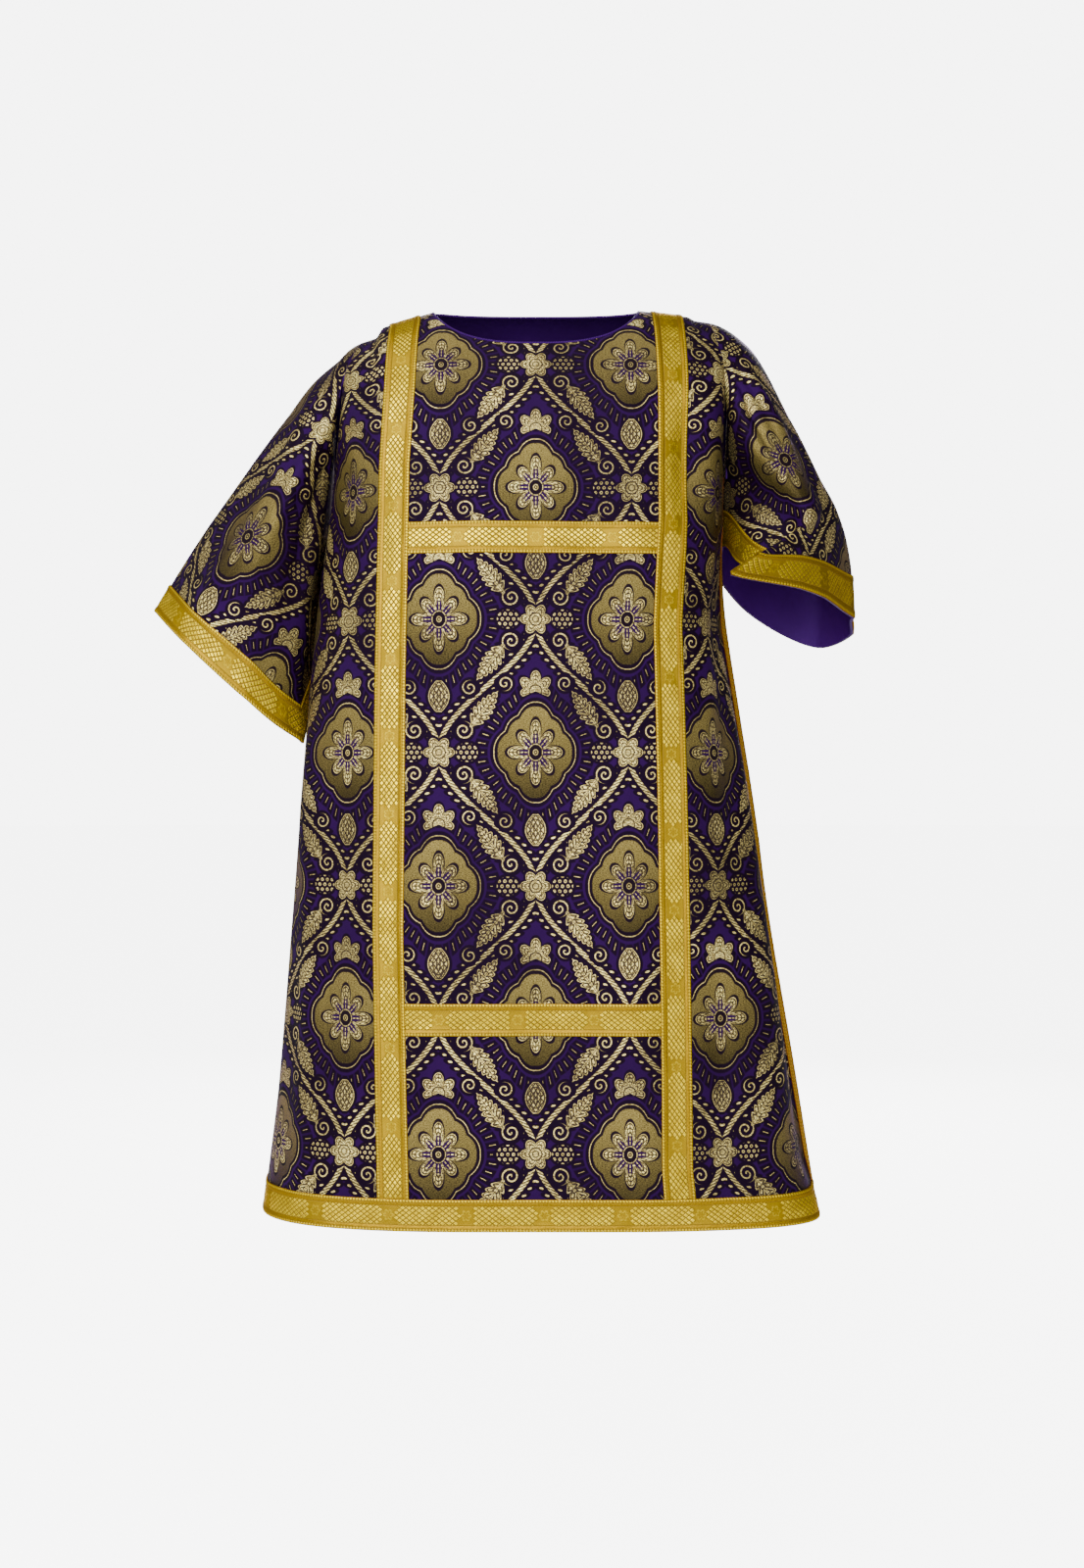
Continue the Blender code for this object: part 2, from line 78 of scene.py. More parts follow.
SHOULDER_CLEARANCE = -0.0003  # the sleeves' seams are closed in the looks
SIDE_CLEARANCE = 0.0004
SIDEWAYS = 0.33
SLEEVE_ROOM = 0.005 + 5 * SEAM_GAP
UNDERARM = (0.3, 0.6)
SHIFT = 0.016  # how far the looks move the armholes' seams in
SHIFT_ENDS = 0.75  # share of an armhole's depth where the shift has ended
SHIFT_FADE = 0.35  # and the share over which it fades
TANGENT_STEP = 0.010
SMOOTH_ENDS = 0.62  # down to this share of an armhole, a sleeve starts along the panel's slope
SMOOTH_FADE = 0.3
FOLD_START = 0.45  # share of a sleeve's length where its sharp folds start
FOLD_FADE = 0.45  # and the share over which they sharpen
AHEAD = 0.008  # a sleeve further in front of the chest than this may reach in over the panel
REACH_IN = 0.03
CUFF_START = 0.91
LINING_START = 0.68
LINING_TURN = 0.50
SIGN = {"left": -1, "right": 1}
# How far the clavi lean out: distances down the front, then the lean at each. On the back the
# first lean fades out.
LEAN = {
    "left": (
        (0, 0.06, 0.18, 0.27, 0.52, 0.79, 0.96, 1.12),
        (-0.0030, -0.0080, -0.0055, 0, 0.0033, 0.0045, 0.0010, -0.0022),
    ),
    "right": (
        (0.06, 0.18, 0.30, 0.40, 0.68, 0.85, 1.12),
        (-0.0060, -0.0038, -0.0040, -0.0033, 0, 0.0010, 0.0020),
    ),
}
LEAN_ENDS = 0.3


def metres(table):
    """A table of numbers given in millimetres, and its names or places as they are."""
    if isinstance(table, dict):
        return {key: metres(row) for key, row in table.items()}
    if isinstance(table, tuple):
        return tuple(metres(row) for row in table)
    return table / 1000


# Each panel by distances down the cloth: how far down and out that is, and the half-width and the
# edge's place on each side. Some half-widths are up to 6 mm off the CAD's, to follow the photo.
FRONT = metres({
    "down": (0, 40, 80, 120, 170, 240, 305, 400, 550, 620, 750, 950, 1127),
    "drop": (0, 12, 34, 64, 108, 176, 240, 335, 485, 555, 685, 885, 1062),
    "out": (0, 38, 71, 97, 119, 134, 141, 148, 155, 157, 160, 163, 163),
    "left": (217, 217, 218, 220, 223, 231, 239, 252, 267, 272, 281, 298, 320),
    "right": (217, 217, 217, 217, 217, 217, 217, 218, 238, 249, 267.5, 299, 325.5),
    "left_edge": (0, 30, 50, 62, 66, 36, 12, 10, 6, 4, 0, -5, -10),
    "right_edge": (0, 30, 50, 62, 66, 42, 28, 30, 34, 37, 42, 50, 58),
})
BACK = metres({
    "down": (0, 40, 80, 120, 170, 240, 318, 410, 560, 760, 960, 1145),
    "drop": (0, 8, 26, 52, 94, 161, 238, 330, 480, 680, 879, 1062),
    "out": (0, 38, 74, 102, 124, 134, 137, 138, 140, 145, 152, 160),
    "left": (217, 217, 218, 220, 223, 230, 239, 252, 267, 280, 297, 319),
    "right": (217, 217, 217, 217, 217, 217, 217, 217, 234, 262, 297, 326),
    "left_edge": (0, 30, 52, 66, 74, 62, 52, 48, 42, 36, 34, 32),
    "right_edge": (0, 30, 52, 66, 74, 62, 50, 44, 20, 0, -12, -20),
})
# Guide lines along each sleeve: by turn, the side, out and drop at each ring.
LEFT_RINGS = (0.12, 0.3, 0.5, 0.7, 0.91, 1)
LEFT_GUIDES = metres({
    0: ((251, 296, 343, 388, 433, 452), (0, 0, 0, 5, 10, 12), (74, 131, 196, 260, 329, 361)),
    0.14: ((247, 281, 317, 354, 393, 407), (65, 78, 82, 82, 78, 75), (115, 172, 236, 299, 366, 401)),
    0.28: ((239, 262, 284, 307, 330, 342), (72, 86, 88, 85, 78, 75), (160, 215, 280, 350, 421, 462)),
    0.41: ((232, 246, 257, 269, 279, 275), (40, 48, 46, 44, 38, 34), (190, 248, 312, 388, 472, 517)),
    0.5: ((229, 238, 246, 254, 261, 265.5), (0, -14, -24, -28, -28, -26), (205, 240, 285, 330, 388, 430)),
    0.68: ((242, 266, 292, 320, 345, 355), (-70, -78, -80, -79, -74, -72), (150, 205, 270, 335, 405, 445)),
    0.85: ((249, 286, 326, 366, 407, 422), (-60, -66, -70, -70, -66, -62), (105, 160, 225, 292, 360, 393)),
})
RIGHT_RINGS = (0.12, 0.3, 0.5, 0.68, 0.8, 0.91, 1)
RIGHT_GUIDES = metres({
    0: ((250, 302, 334, 358, 368, 373, 375), (0, 2, 8, 12, 15, 18, 20), (42, 134, 205, 248, 281, 318, 368)),
    0.09: ((246, 286, 316, 332, 322, 302, 298), (50, 55, 60, 70, 85, 115, 120),
        (62, 140, 206, 249, 275, 306, 344)),
    4 / 27: ((240, 273, 298, 318, 286, 252, 215), (67, 76, 86, 94, 118, 150, 171),
        (80, 141, 206, 260, 285, 309, 335)),
    5 / 27: ((236, 264, 288, 309, 284, 255, 222), (72, 82, 92, 95, 107, 135, 154),
        (90, 141, 203, 261, 289, 305, 328)),
    0.25: ((230, 246, 268, 299, 295, 282, 272), (78, 90, 95, 85, 85, 110, 125),
        (105, 143, 194, 254, 283, 308, 333)),
    0.33: ((224.5, 230, 241, 263, 261, 253, 238), (75, 85, 85, 68, 65, 75, 75),
        (130, 146, 179, 224, 258, 285, 312)),
    0.42: ((222.5, 224.5, 226.5, 228, 228, 227, 227), (52, 50, 44, 32, 26, 22, 22),
        (165, 172, 188, 206, 223, 241, 284)),
    0.5: ((220.5, 220, 218.5, 216, 214, 213, 213), (0, -4, -8, -12, -12, -12, -12),
        (197, 202, 210, 222, 235, 250, 290)),
    0.68: ((227.5, 242, 257, 264, 264, 264, 260), (-70, -70, -70, -68, -66, -64, -62),
        (120, 165, 212, 262, 285, 312, 354)),
    0.85: ((240, 290, 322, 340, 347, 351, 348), (-60, -62, -62, -61, -60, -60, -58),
        (70, 152, 215, 272, 310, 351, 398)),
})
FOLDS = {"left": ((0.0, 0.20), (0.41, 0.22)), "right": ((0.165, 0.09), (0.0, 0.06))}  # turn, reach
SLEEVES = {"left": (LEFT_RINGS, LEFT_GUIDES), "right": (RIGHT_RINGS, RIGHT_GUIDES)}

# ---- creases, listed one by one
# across and down at the start and the end, half-width, height (below 0: a trough), bow.

FRONT_CREASES = (
    (-0.205, 0.10, -0.262, 0.60, 0.030, -0.0045, 0.010),
    (-0.255, 0.42, -0.330, 0.99, 0.032, 0.0045, -0.006),
    (-0.215, 0.52, -0.240, 1.09, 0.026, -0.0035, 0.006),
    (-0.290, 0.66, -0.305, 1.13, 0.024, -0.0040, 0.004),
    (-0.115, 0.62, -0.130, 1.13, 0.040, 0.0030, 0.006),
    (-0.060, 0.20, -0.085, 0.58, 0.045, 0.0022, -0.010),
    (0.015, 0.72, 0.005, 1.13, 0.036, -0.0028, 0.004),
    (0.060, 0.16, 0.085, 0.52, 0.040, -0.0022, 0.008),
    (0.105, 0.70, 0.125, 1.13, 0.034, 0.0032, -0.006),
    (0.168, 0.16, 0.176, 0.36, 0.016, -0.0035, 0.003),
    (0.205, 0.14, 0.215, 0.42, 0.022, 0.0040, 0.006),
    (0.232, 0.30, 0.240, 0.86, 0.026, -0.0045, -0.006),
    (0.275, 0.44, 0.300, 1.12, 0.028, 0.0045, 0.006),
    (0.210, 0.78, 0.222, 1.13, 0.024, -0.0030, 0.002),
    (0.330, 0.70, 0.345, 1.13, 0.022, -0.0030, 0.002),
)
BACK_CREASES = (
    (-0.225, 0.12, -0.270, 0.66, 0.030, -0.0050, 0.010),
    (-0.300, 0.30, -0.325, 0.96, 0.030, 0.0050, -0.008),
    (-0.205, 0.44, -0.232, 1.12, 0.028, 0.0042, 0.006),
    (-0.130, 0.20, -0.125, 0.72, 0.036, -0.0035, 0.006),
    (-0.080, 0.56, -0.098, 1.14, 0.034, 0.0045, 0.006),
    (-0.030, 0.12, -0.020, 0.48, 0.040, 0.0024, -0.006),
    (-0.012, 0.50, -0.022, 1.14, 0.036, -0.0045, 0.005),
    (0.065, 0.40, 0.058, 1.14, 0.032, 0.0040, -0.006),
    (0.118, 0.24, 0.128, 0.90, 0.030, -0.0038, 0.006),
    (0.186, 0.38, 0.200, 1.12, 0.030, 0.0044, 0.004),
    (0.225, 0.12, 0.262, 0.60, 0.028, -0.0046, 0.008),
    (0.285, 0.36, 0.312, 1.12, 0.030, 0.0048, 0.006),
    (0.250, 0.72, 0.262, 1.14, 0.022, -0.0034, 0.003),
)
# On the sleeves: across and down are turn and share of the length, times RING and ARM.
RING = 0.56
ARM = 0.36
LEFT_CREASES = (
    (0.110, 0.01, 0.098, 0.17, 0.016, -0.0036, 0.006),
    (0.150, 0.02, 0.120, 0.33, 0.020, 0.0050, 0.010),
    (0.185, 0.04, 0.175, 0.26, 0.016, -0.0045, -0.006),
    (0.075, 0.10, 0.050, 0.36, 0.022, -0.0040, 0.006),
    (0.222, 0.08, 0.214, 0.36, 0.014, 0.0030, 0.004),
    (0.020, 0.05, 0.006, 0.34, 0.024, 0.0030, -0.006),
    (0.340, 0.05, 0.345, 0.36, 0.020, -0.0045, 0.006),
    (0.395, 0.04, 0.400, 0.36, 0.022, 0.0050, -0.006),
    (0.450, 0.06, 0.462, 0.34, 0.020, -0.0045, 0.008),
    (0.505, 0.10, 0.510, 0.36, 0.022, 0.0036, -0.004),
)
RIGHT_CREASES = (
    (0.092, 0.02, 0.080, 0.20, 0.015, 0.0045, 0.004),
    (0.132, 0.01, 0.128, 0.19, 0.012, -0.0045, -0.003),
    (0.030, 0.06, 0.020, 0.30, 0.020, 0.0034, 0.006),
    (0.055, 0.14, 0.042, 0.36, 0.012, -0.0030, 0.004),
    (0.400, 0.05, 0.405, 0.34, 0.018, -0.0034, 0.006),
    (0.440, 0.04, 0.452, 0.36, 0.020, 0.0040, -0.006),
    (0.500, 0.06, 0.508, 0.36, 0.018, -0.0034, 0.006),
)


def relief(creases, across, down):
    """Height of the creases at each point of the cloth."""
    height = np.zeros(np.broadcast(across, down).shape)
    for x0, y0, x1, y1, width, depth, bow in creases:
        length = math.hypot(x1 - x0, y1 - y0)
        ex, ey = (x1 - x0) / length, (y1 - y0) / length
        along = np.clip(((across - x0) * ex + (down - y0) * ey) / length, 0, 1)
        off = (down - y0) * ex - (across - x0) * ey - 4 * bow * along * (1 - along)
        s = (off / (width * (0.75 + 0.5 * along))) ** 2
        height += 1.3 * depth * np.sin(math.pi * along) ** 0.9 * (1 - 0.35 * s) * np.exp(-s)
    return height


# ---- curves and surfaces

def through(places, values, at, first=None):
    """Smooth curve (cubic Hermite) through rows of values at rising places. first: its slope at
    the start, if given."""
    places = np.asarray(places, float)
    values = np.asarray(values, float)
    slopes = np.gradient(values, places, axis=0)
    if first is not None:
        slopes[0] = first
    at = np.clip(np.asarray(at, float), places[0], places[-1])
    row = np.clip(np.searchsorted(places, at) - 1, 0, len(places) - 2)
    step = places[row + 1] - places[row]
    s = (at - places[row]) / step
    if values.ndim == 2:
        step, s = step[:, None], s[:, None]
    start = (1 + 2 * s) * (1 - s) ** 2 * values[row] + s * (1 - s) ** 2 * step * slopes[row]
    end = s * s * (3 - 2 * s) * values[row + 1] + s * s * (s - 1) * step * slopes[row + 1]
    return start + end


def half_section(table, side, down):
    """Half of each level section, from the middle to the edge: x, out, and the length along it."""
    half, edge, out = (through(table["down"], table[c], down) for c in (side, side + "_edge", "out"))
    angle = np.linspace(0, math.pi / 2, SECTION_STEPS)
    x = half[:, None] * np.sin(angle) ** (2 / SECTION_ROUND)
    y = edge[:, None] + (out - edge)[:, None] * np.cos(angle) ** (2 / SECTION_ROUND)
    run = np.cumsum(np.hypot(np.diff(x), np.diff(y)), axis=1)
    return x, y, np.hstack([np.zeros((len(run), 1)), run])


def half_width(table, side, down):
    return half_section(table, side, np.atleast_1d(down))[2][:, -1]


def panel_points(table, across, down):
    """Points on a panel's inner face, from signed distances across and down the cloth."""
    across, down = (np.asarray(v, float) for v in (across, down))
    points = np.zeros((len(across), 3))
    facing = -1 if table is FRONT else 1
    for side in ("left", "right"):
        mine = (across < 0) == (side == "left")
        if not mine.any():
            continue
        x, y, run = half_section(table, side, down[mine])
        reach = np.minimum(np.abs(across[mine]), run[:, -1])
        step = np.clip((run < reach[:, None]).sum(axis=1), 1, SECTION_STEPS - 1)
        row = np.arange(len(step))
        share = (reach - run[row, step - 1]) / (run[row, step] - run[row, step - 1])
        px = x[row, step - 1] + share * (x[row, step] - x[row, step - 1])
        py = y[row, step - 1] + share * (y[row, step] - y[row, step - 1])
        if table is FRONT and side == "right":
            near = np.clip(1 - (run[:, -1] - reach) / TURN_WIDE, 0, 1) ** TURN_ROUND
            px = px - (1 - near) * np.interp(down[mine], TURN_PLACES, TURN_OUT) * (px / x[:, -1])
        fade = np.clip(1 - down[mine] / FALL_ENDS, 0, 1) ** FALL_FADE
        past_neck = np.clip((px - FALL_START) / (SHOULDER_HALF - FALL_START), 0, None)
        fall = SHOULDER_FALL[side] * fade * past_neck**FALL_ROUND
        beside = np.clip((px - CLAVUS_MIDDLE - GALLOON / 2) / STEP_WIDE, 0, 1)
        fade = np.clip(1 - down[mine] / STEP_ENDS, 0, 1)
        fall += STEP_DOWN[side] * beside * beside * (3 - 2 * beside) * fade
        points[mine, 0] = SIGN[side] * px
        points[mine, 1] = facing * (py + SEAM_GAP / 2)
        points[mine, 2] = -through(table["down"], table["drop"], down[mine]) - fall
    return points


def neckline(across, depth):
    share = np.clip(np.abs(across) / NECK_HALF, 0, 1)
    return depth * (1 - share**NECK_ROUND) ** (1 / NECK_ROUND)


def seam_shift(name, down):
    """How far the looks move an armhole's seam in, so that the shoulder is smooth."""
    return SHIFT * np.clip((SHIFT_ENDS - down / ARMHOLE[name]) / SHIFT_FADE, 0, 1)


def armhole_points(side, turn, inset=0.0):
    """Round an armhole: turn 0 at the shoulder, 0.5 under the arm, the front edge first. inset:
    how far in from the panel's edge."""
    turn = np.mod(turn, 1.0)
    points = np.zeros((len(turn), 3))
    halves = (("front", FRONT, turn <= 0.5, turn * 2), ("back", BACK, turn > 0.5, 2 - turn * 2))
    for name, table, mine, share in halves:
        if not mine.any():
            continue
        down = ARMHOLE[name] * share[mine]
        across = half_width(table, side, down) - seam_shift(name, down) - inset
        points[mine] = panel_points(table, SIGN[side] * across, down)
    depth = 2 * np.minimum(turn, 1 - turn)
    sideways = np.clip(depth / SIDEWAYS, 0, 1)
    clear = SHOULDER_CLEARANCE + (SIDE_CLEARANCE - SHOULDER_CLEARANCE) * sideways
    points[:, 0] += SIGN[side] * clear
    return points


def beside_panels(side, points, lies_along):
    """Moves a sleeve's points out where they would meet the panels."""
    halves = []
    for name, table in (("front", FRONT), ("back", BACK)):
        down = np.interp(-points[:, 2], table["drop"], table["down"])
        halves.append(through(table["drop"], table[side], -points[:, 2]) - seam_shift(name, down))
    least = np.max(halves, axis=0) + SLEEVE_ROOM * lies_along
    chest = through(FRONT["drop"], FRONT["out"], -points[:, 2])
    least -= REACH_IN * np.clip((-points[:, 1] - chest - AHEAD) / AHEAD, 0, 1)
    points[:, 0] = SIGN[side] * np.maximum(np.abs(points[:, 0]), least)
    return points


def past_ends(rows):
    """Rows round a ring, with two from each end repeated beyond the other."""
    return np.concatenate([rows[-2:], rows, rows[:2]])


def sleeve_points(side, turn, along):
    """One ring of points on a sleeve's inner face."""
    rings, guides = SLEEVES[side]
    places = np.array(list(guides))
    starts = armhole_points(side, places)
    tangents = (starts - armhole_points(side, places, TANGENT_STEP)) / TANGENT_STEP
    ring = []
    for start, tangent, (place, (sides, outs, drops)) in zip(starts, tangents, guides.items()):
        line = np.stack([SIGN[side] * np.array(sides), -np.array(outs), -np.array(drops)], axis=1)
        chord = (line[0] - start) / rings[0]
        smooth = np.clip((SMOOTH_ENDS - 2 * min(place, 1 - place)) / SMOOTH_FADE, 0, 1)
        first = chord + (tangent * np.linalg.norm(chord) - chord) * smooth
        ring.append(through((0, *rings), np.vstack([start, line]), np.array([along]), first)[0])
    wrapped = np.concatenate([places[-2:] - 1, places, places[:2] + 1])
    whole = past_ends(np.array(ring))
    points = through(wrapped, whole, turn)
    straight = np.stack([np.interp(turn, wrapped, whole[:, i]) for i in range(3)], 1)
    for place, reach in FOLDS[side]:
        near = np.clip(1 - np.abs(np.mod(turn - place + 0.5, 1) - 0.5) / reach, 0, 1)
        points += (straight - points) * (near * np.clip((along - FOLD_START) / FOLD_FADE, 0, 1))[:, None]
    near_seam = max(0.0, 1 - along / rings[0]) ** 2
    points += near_seam * (armhole_points(side, turn) - through(wrapped, past_ends(starts), turn))
    depth = 2 * np.minimum(turn, 1 - turn)
    underarm = np.clip((depth - UNDERARM[0]) / (UNDERARM[1] - UNDERARM[0]), 0, 1)
    lies_along = np.maximum(underarm, min(1.0, along / rings[0]))
    return np.where(lies_along[:, None] > 0, beside_panels(side, points, lies_along), points)


# ---- grids and shells

def spread(marks, step):
    """Rising numbers through all marks, no further apart than step."""
    marks = sorted(marks)
    parts = []
    for low, high in zip(marks, marks[1:]):
        count = max(1, math.ceil((high - low) / step - 1e-6))
        parts.append(np.linspace(low, high, count + 1)[:-1])
    return np.concatenate([*parts, [marks[-1]]])


CORNERS = np.array(((0, 0), (1, 0), (1, 1), (0, 1)))


def cell_corners(rows, columns):
    """Row and column numbers at the four corners of each cell."""
    cells = np.stack(np.meshgrid(np.arange(rows), np.arange(columns), indexing="ij"), -1)
    return cells.reshape(-1, 1, 2) + CORNERS


def nearest(values, mark):
    return int(np.argmin(np.abs(values - mark)))


def unit(vectors):
    return vectors / np.maximum(np.linalg.norm(vectors, axis=-1, keepdims=True), 1e-12)


def closed(ring):
    """A ring's grid with its first column again at the end."""
    return np.concatenate([ring, ring[:, :1]], 1)


def facing(grid, ring=False):
    """Normals of a grid of points, from its neighbours."""
    if ring:
        across = np.roll(grid, -1, axis=1) - np.roll(grid, 1, axis=1)
    else:
        across = np.gradient(grid, axis=1)
    return unit(np.cross(np.gradient(grid, axis=0), across))


def lerp_grid(grid, rows, columns):
    """Values between a grid's own, at fractional row and column numbers."""
    rows, columns = np.asarray(rows, float), np.asarray(columns, float)
    r = np.clip(np.floor(rows).astype(int), 0, grid.shape[0] - 2)
    c = np.clip(np.floor(columns).astype(int), 0, grid.shape[1] - 2)
    fr, fc = (rows - r)[:, None, None], (columns - c)[None, :, None]
    near = grid[np.ix_(r, c)] * (1 - fc) + grid[np.ix_(r, c + 1)] * fc
    far = grid[np.ix_(r + 1, c)] * (1 - fc) + grid[np.ix_(r + 1, c + 1)] * fc
    return near * (1 - fr) + far * fr


def placed(name, data):
    """A new object in the scene."""
    thing = bpy.data.objects.new(name, data)
    bpy.context.scene.collection.objects.link(thing)
    return thing


def shell(name, inner, outer, uv, finishes, ring=False):
    """A closed cloth shell between two grids. finishes: outer face, then inner face and rim."""
    rows, columns = inner.shape[:2]
    cells = columns if ring else columns - 1
    count = rows * columns
    place = cell_corners(rows - 1, cells)
    quad = place % (rows, columns) @ (columns, 1)
    faces, places = [quad + count, quad[:, ::-1]], [place, place[:, ::-1]]
    edges = [(0, np.arange(cells), (0, 1), 1), (rows - 1, np.arange(cells), (0, 1), -1)]
    if not ring:
        edges += [(np.arange(rows - 1), 0, (1, 0), -1), (np.arange(rows - 1), columns - 1, (1, 0), 1)]
    for row, column, onward, way in edges:
        start = np.stack(np.broadcast_arrays(row, column), 1)
        corners = np.stack([start, start, start + onward, start + onward], 1)
        strip = corners % (rows, columns) @ (columns, 1) + (0, count, count, 0)
        faces.append(strip[:, ::way])
        places.append(corners[:, ::way])
    faces, places = np.concatenate(faces), np.concatenate(places)
    slots = np.full(len(faces), len(finishes) - 1, dtype=np.int32)
    slots[: len(quad)] = 0
    mesh = bpy.data.meshes.new(name)
    mesh.vertices.add(2 * count)
    mesh.vertices.foreach_set("co", np.vstack([inner.reshape(-1, 3), outer.reshape(-1, 3)]).ravel())
    mesh.loops.add(faces.size)
    mesh.loops.foreach_set("vertex_index", faces.ravel().astype(np.int32))
    mesh.polygons.add(len(faces))
    mesh.polygons.foreach_set("loop_start", np.arange(0, faces.size, 4, dtype=np.int32))
    mesh.polygons.foreach_set("material_index", slots)
    layer = mesh.uv_layers.new(name="Cut")
    layer.uv.foreach_set("vector", uv[places[..., 0], places[..., 1]].ravel())
    for finish in finishes:
        mesh.materials.append(finish)
    mesh.validate()
    mesh.update(calc_edges=True)
    mesh.shade_smooth()
    mesh.set_sharp_from_angle(angle=math.radians(55))
    piece = placed(name, mesh)
    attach(piece, "root")
    return piece


# ---- numbers worked out by nodes

def feed(socket, value):
    """Gives a node's input a Num, another node's output or a constant."""
    if isinstance(value, Num):
        value = value.socket
    if isinstance(value, bpy.types.NodeSocket):
        socket.id_data.links.new(value, socket)
    else:
        socket.default_value = value


def new_node(tree, kind, inputs=None, **settings):
    """A node with its settings, and with inputs fed by number or by name."""
    node = tree.nodes.new(kind)
    for name, value in settings.items():
        setattr(node, name, value)
    for name, value in (inputs or {}).items():
        feed(node.inputs[name], value)
    return node


def node_math(kind, *values, clamp=False):
    tree = next(v.tree for v in values if isinstance(v, Num))
    node = new_node(tree, "ShaderNodeMath", dict(enumerate(values)), operation=kind, use_clamp=clamp)
    return Num(tree, node.outputs[0])


def math_of(kind):
    """A function that makes a Math node of this kind."""
    def made(*values):
        return node_math(kind, *values)
    return made


class Num:
    """A number in a shader tree. Plain sums of Nums make Math nodes."""

    __add__ = math_of("ADD")
    __sub__ = math_of("SUBTRACT")
    __mul__ = math_of("MULTIPLY")
    __truediv__ = math_of("DIVIDE")

    def __init__(self, tree, socket):
        self.tree, self.socket = tree, socket

    def __radd__(self, other):
        return node_math("ADD", other, self)

    def __rsub__(self, other):
        return node_math("SUBTRACT", other, self)


absolute = math_of("ABSOLUTE")
root = math_of("SQRT")
sine = math_of("SINE")
cosine = math_of("COSINE")
angle_of = math_of("ARCTAN2")
power = math_of("POWER")
less = math_of("LESS_THAN")


def least(a, *rest):
    return node_math("MINIMUM", a, least(*rest)) if rest else a


def most(a, *rest):
    return node_math("MAXIMUM", a, most(*rest)) if rest else a


def wrap(a, period):
    return node_math("WRAP", a, period / 2, -period / 2)


def length(a, b):
    return root(node_math("MULTIPLY_ADD", a, a, b * b))


def blend(a, b, share):
    return node_math("MULTIPLY_ADD", b - a, share, a)


def filled(distance, soft=0.0005):
    """1 inside a figure, where the distance is below 0, and 0 outside."""
    return node_math("MULTIPLY_ADD", distance, -0.5 / soft, 0.5, clamp=True)


def line(distance, half, soft=0.0005):
    return filled(absolute(distance) - half, soft)


def ramp(low, high, a):
    node = new_node(a.tree, "ShaderNodeMapRange", {"Value": a, "From Min": low, "From Max": high})
    return Num(a.tree, node.outputs[0])


# ---- damask

DAMASK_WIDE = 0.250
DAMASK_HIGH = 0.345
OUTLINE = 0.0031
DAMASK_SCALE = 1.16  # the sizes above and below are this much larger than on the cloth


def volute(x, y, start, radius, pitch, hand):
    turned = angle_of(x, y * hand)
    r = length(x, y)
    d = absolute(wrap(r - turned * (pitch / math.tau) + start * pitch, pitch)) - pitch * 0.24
    return most(d, r - radius)


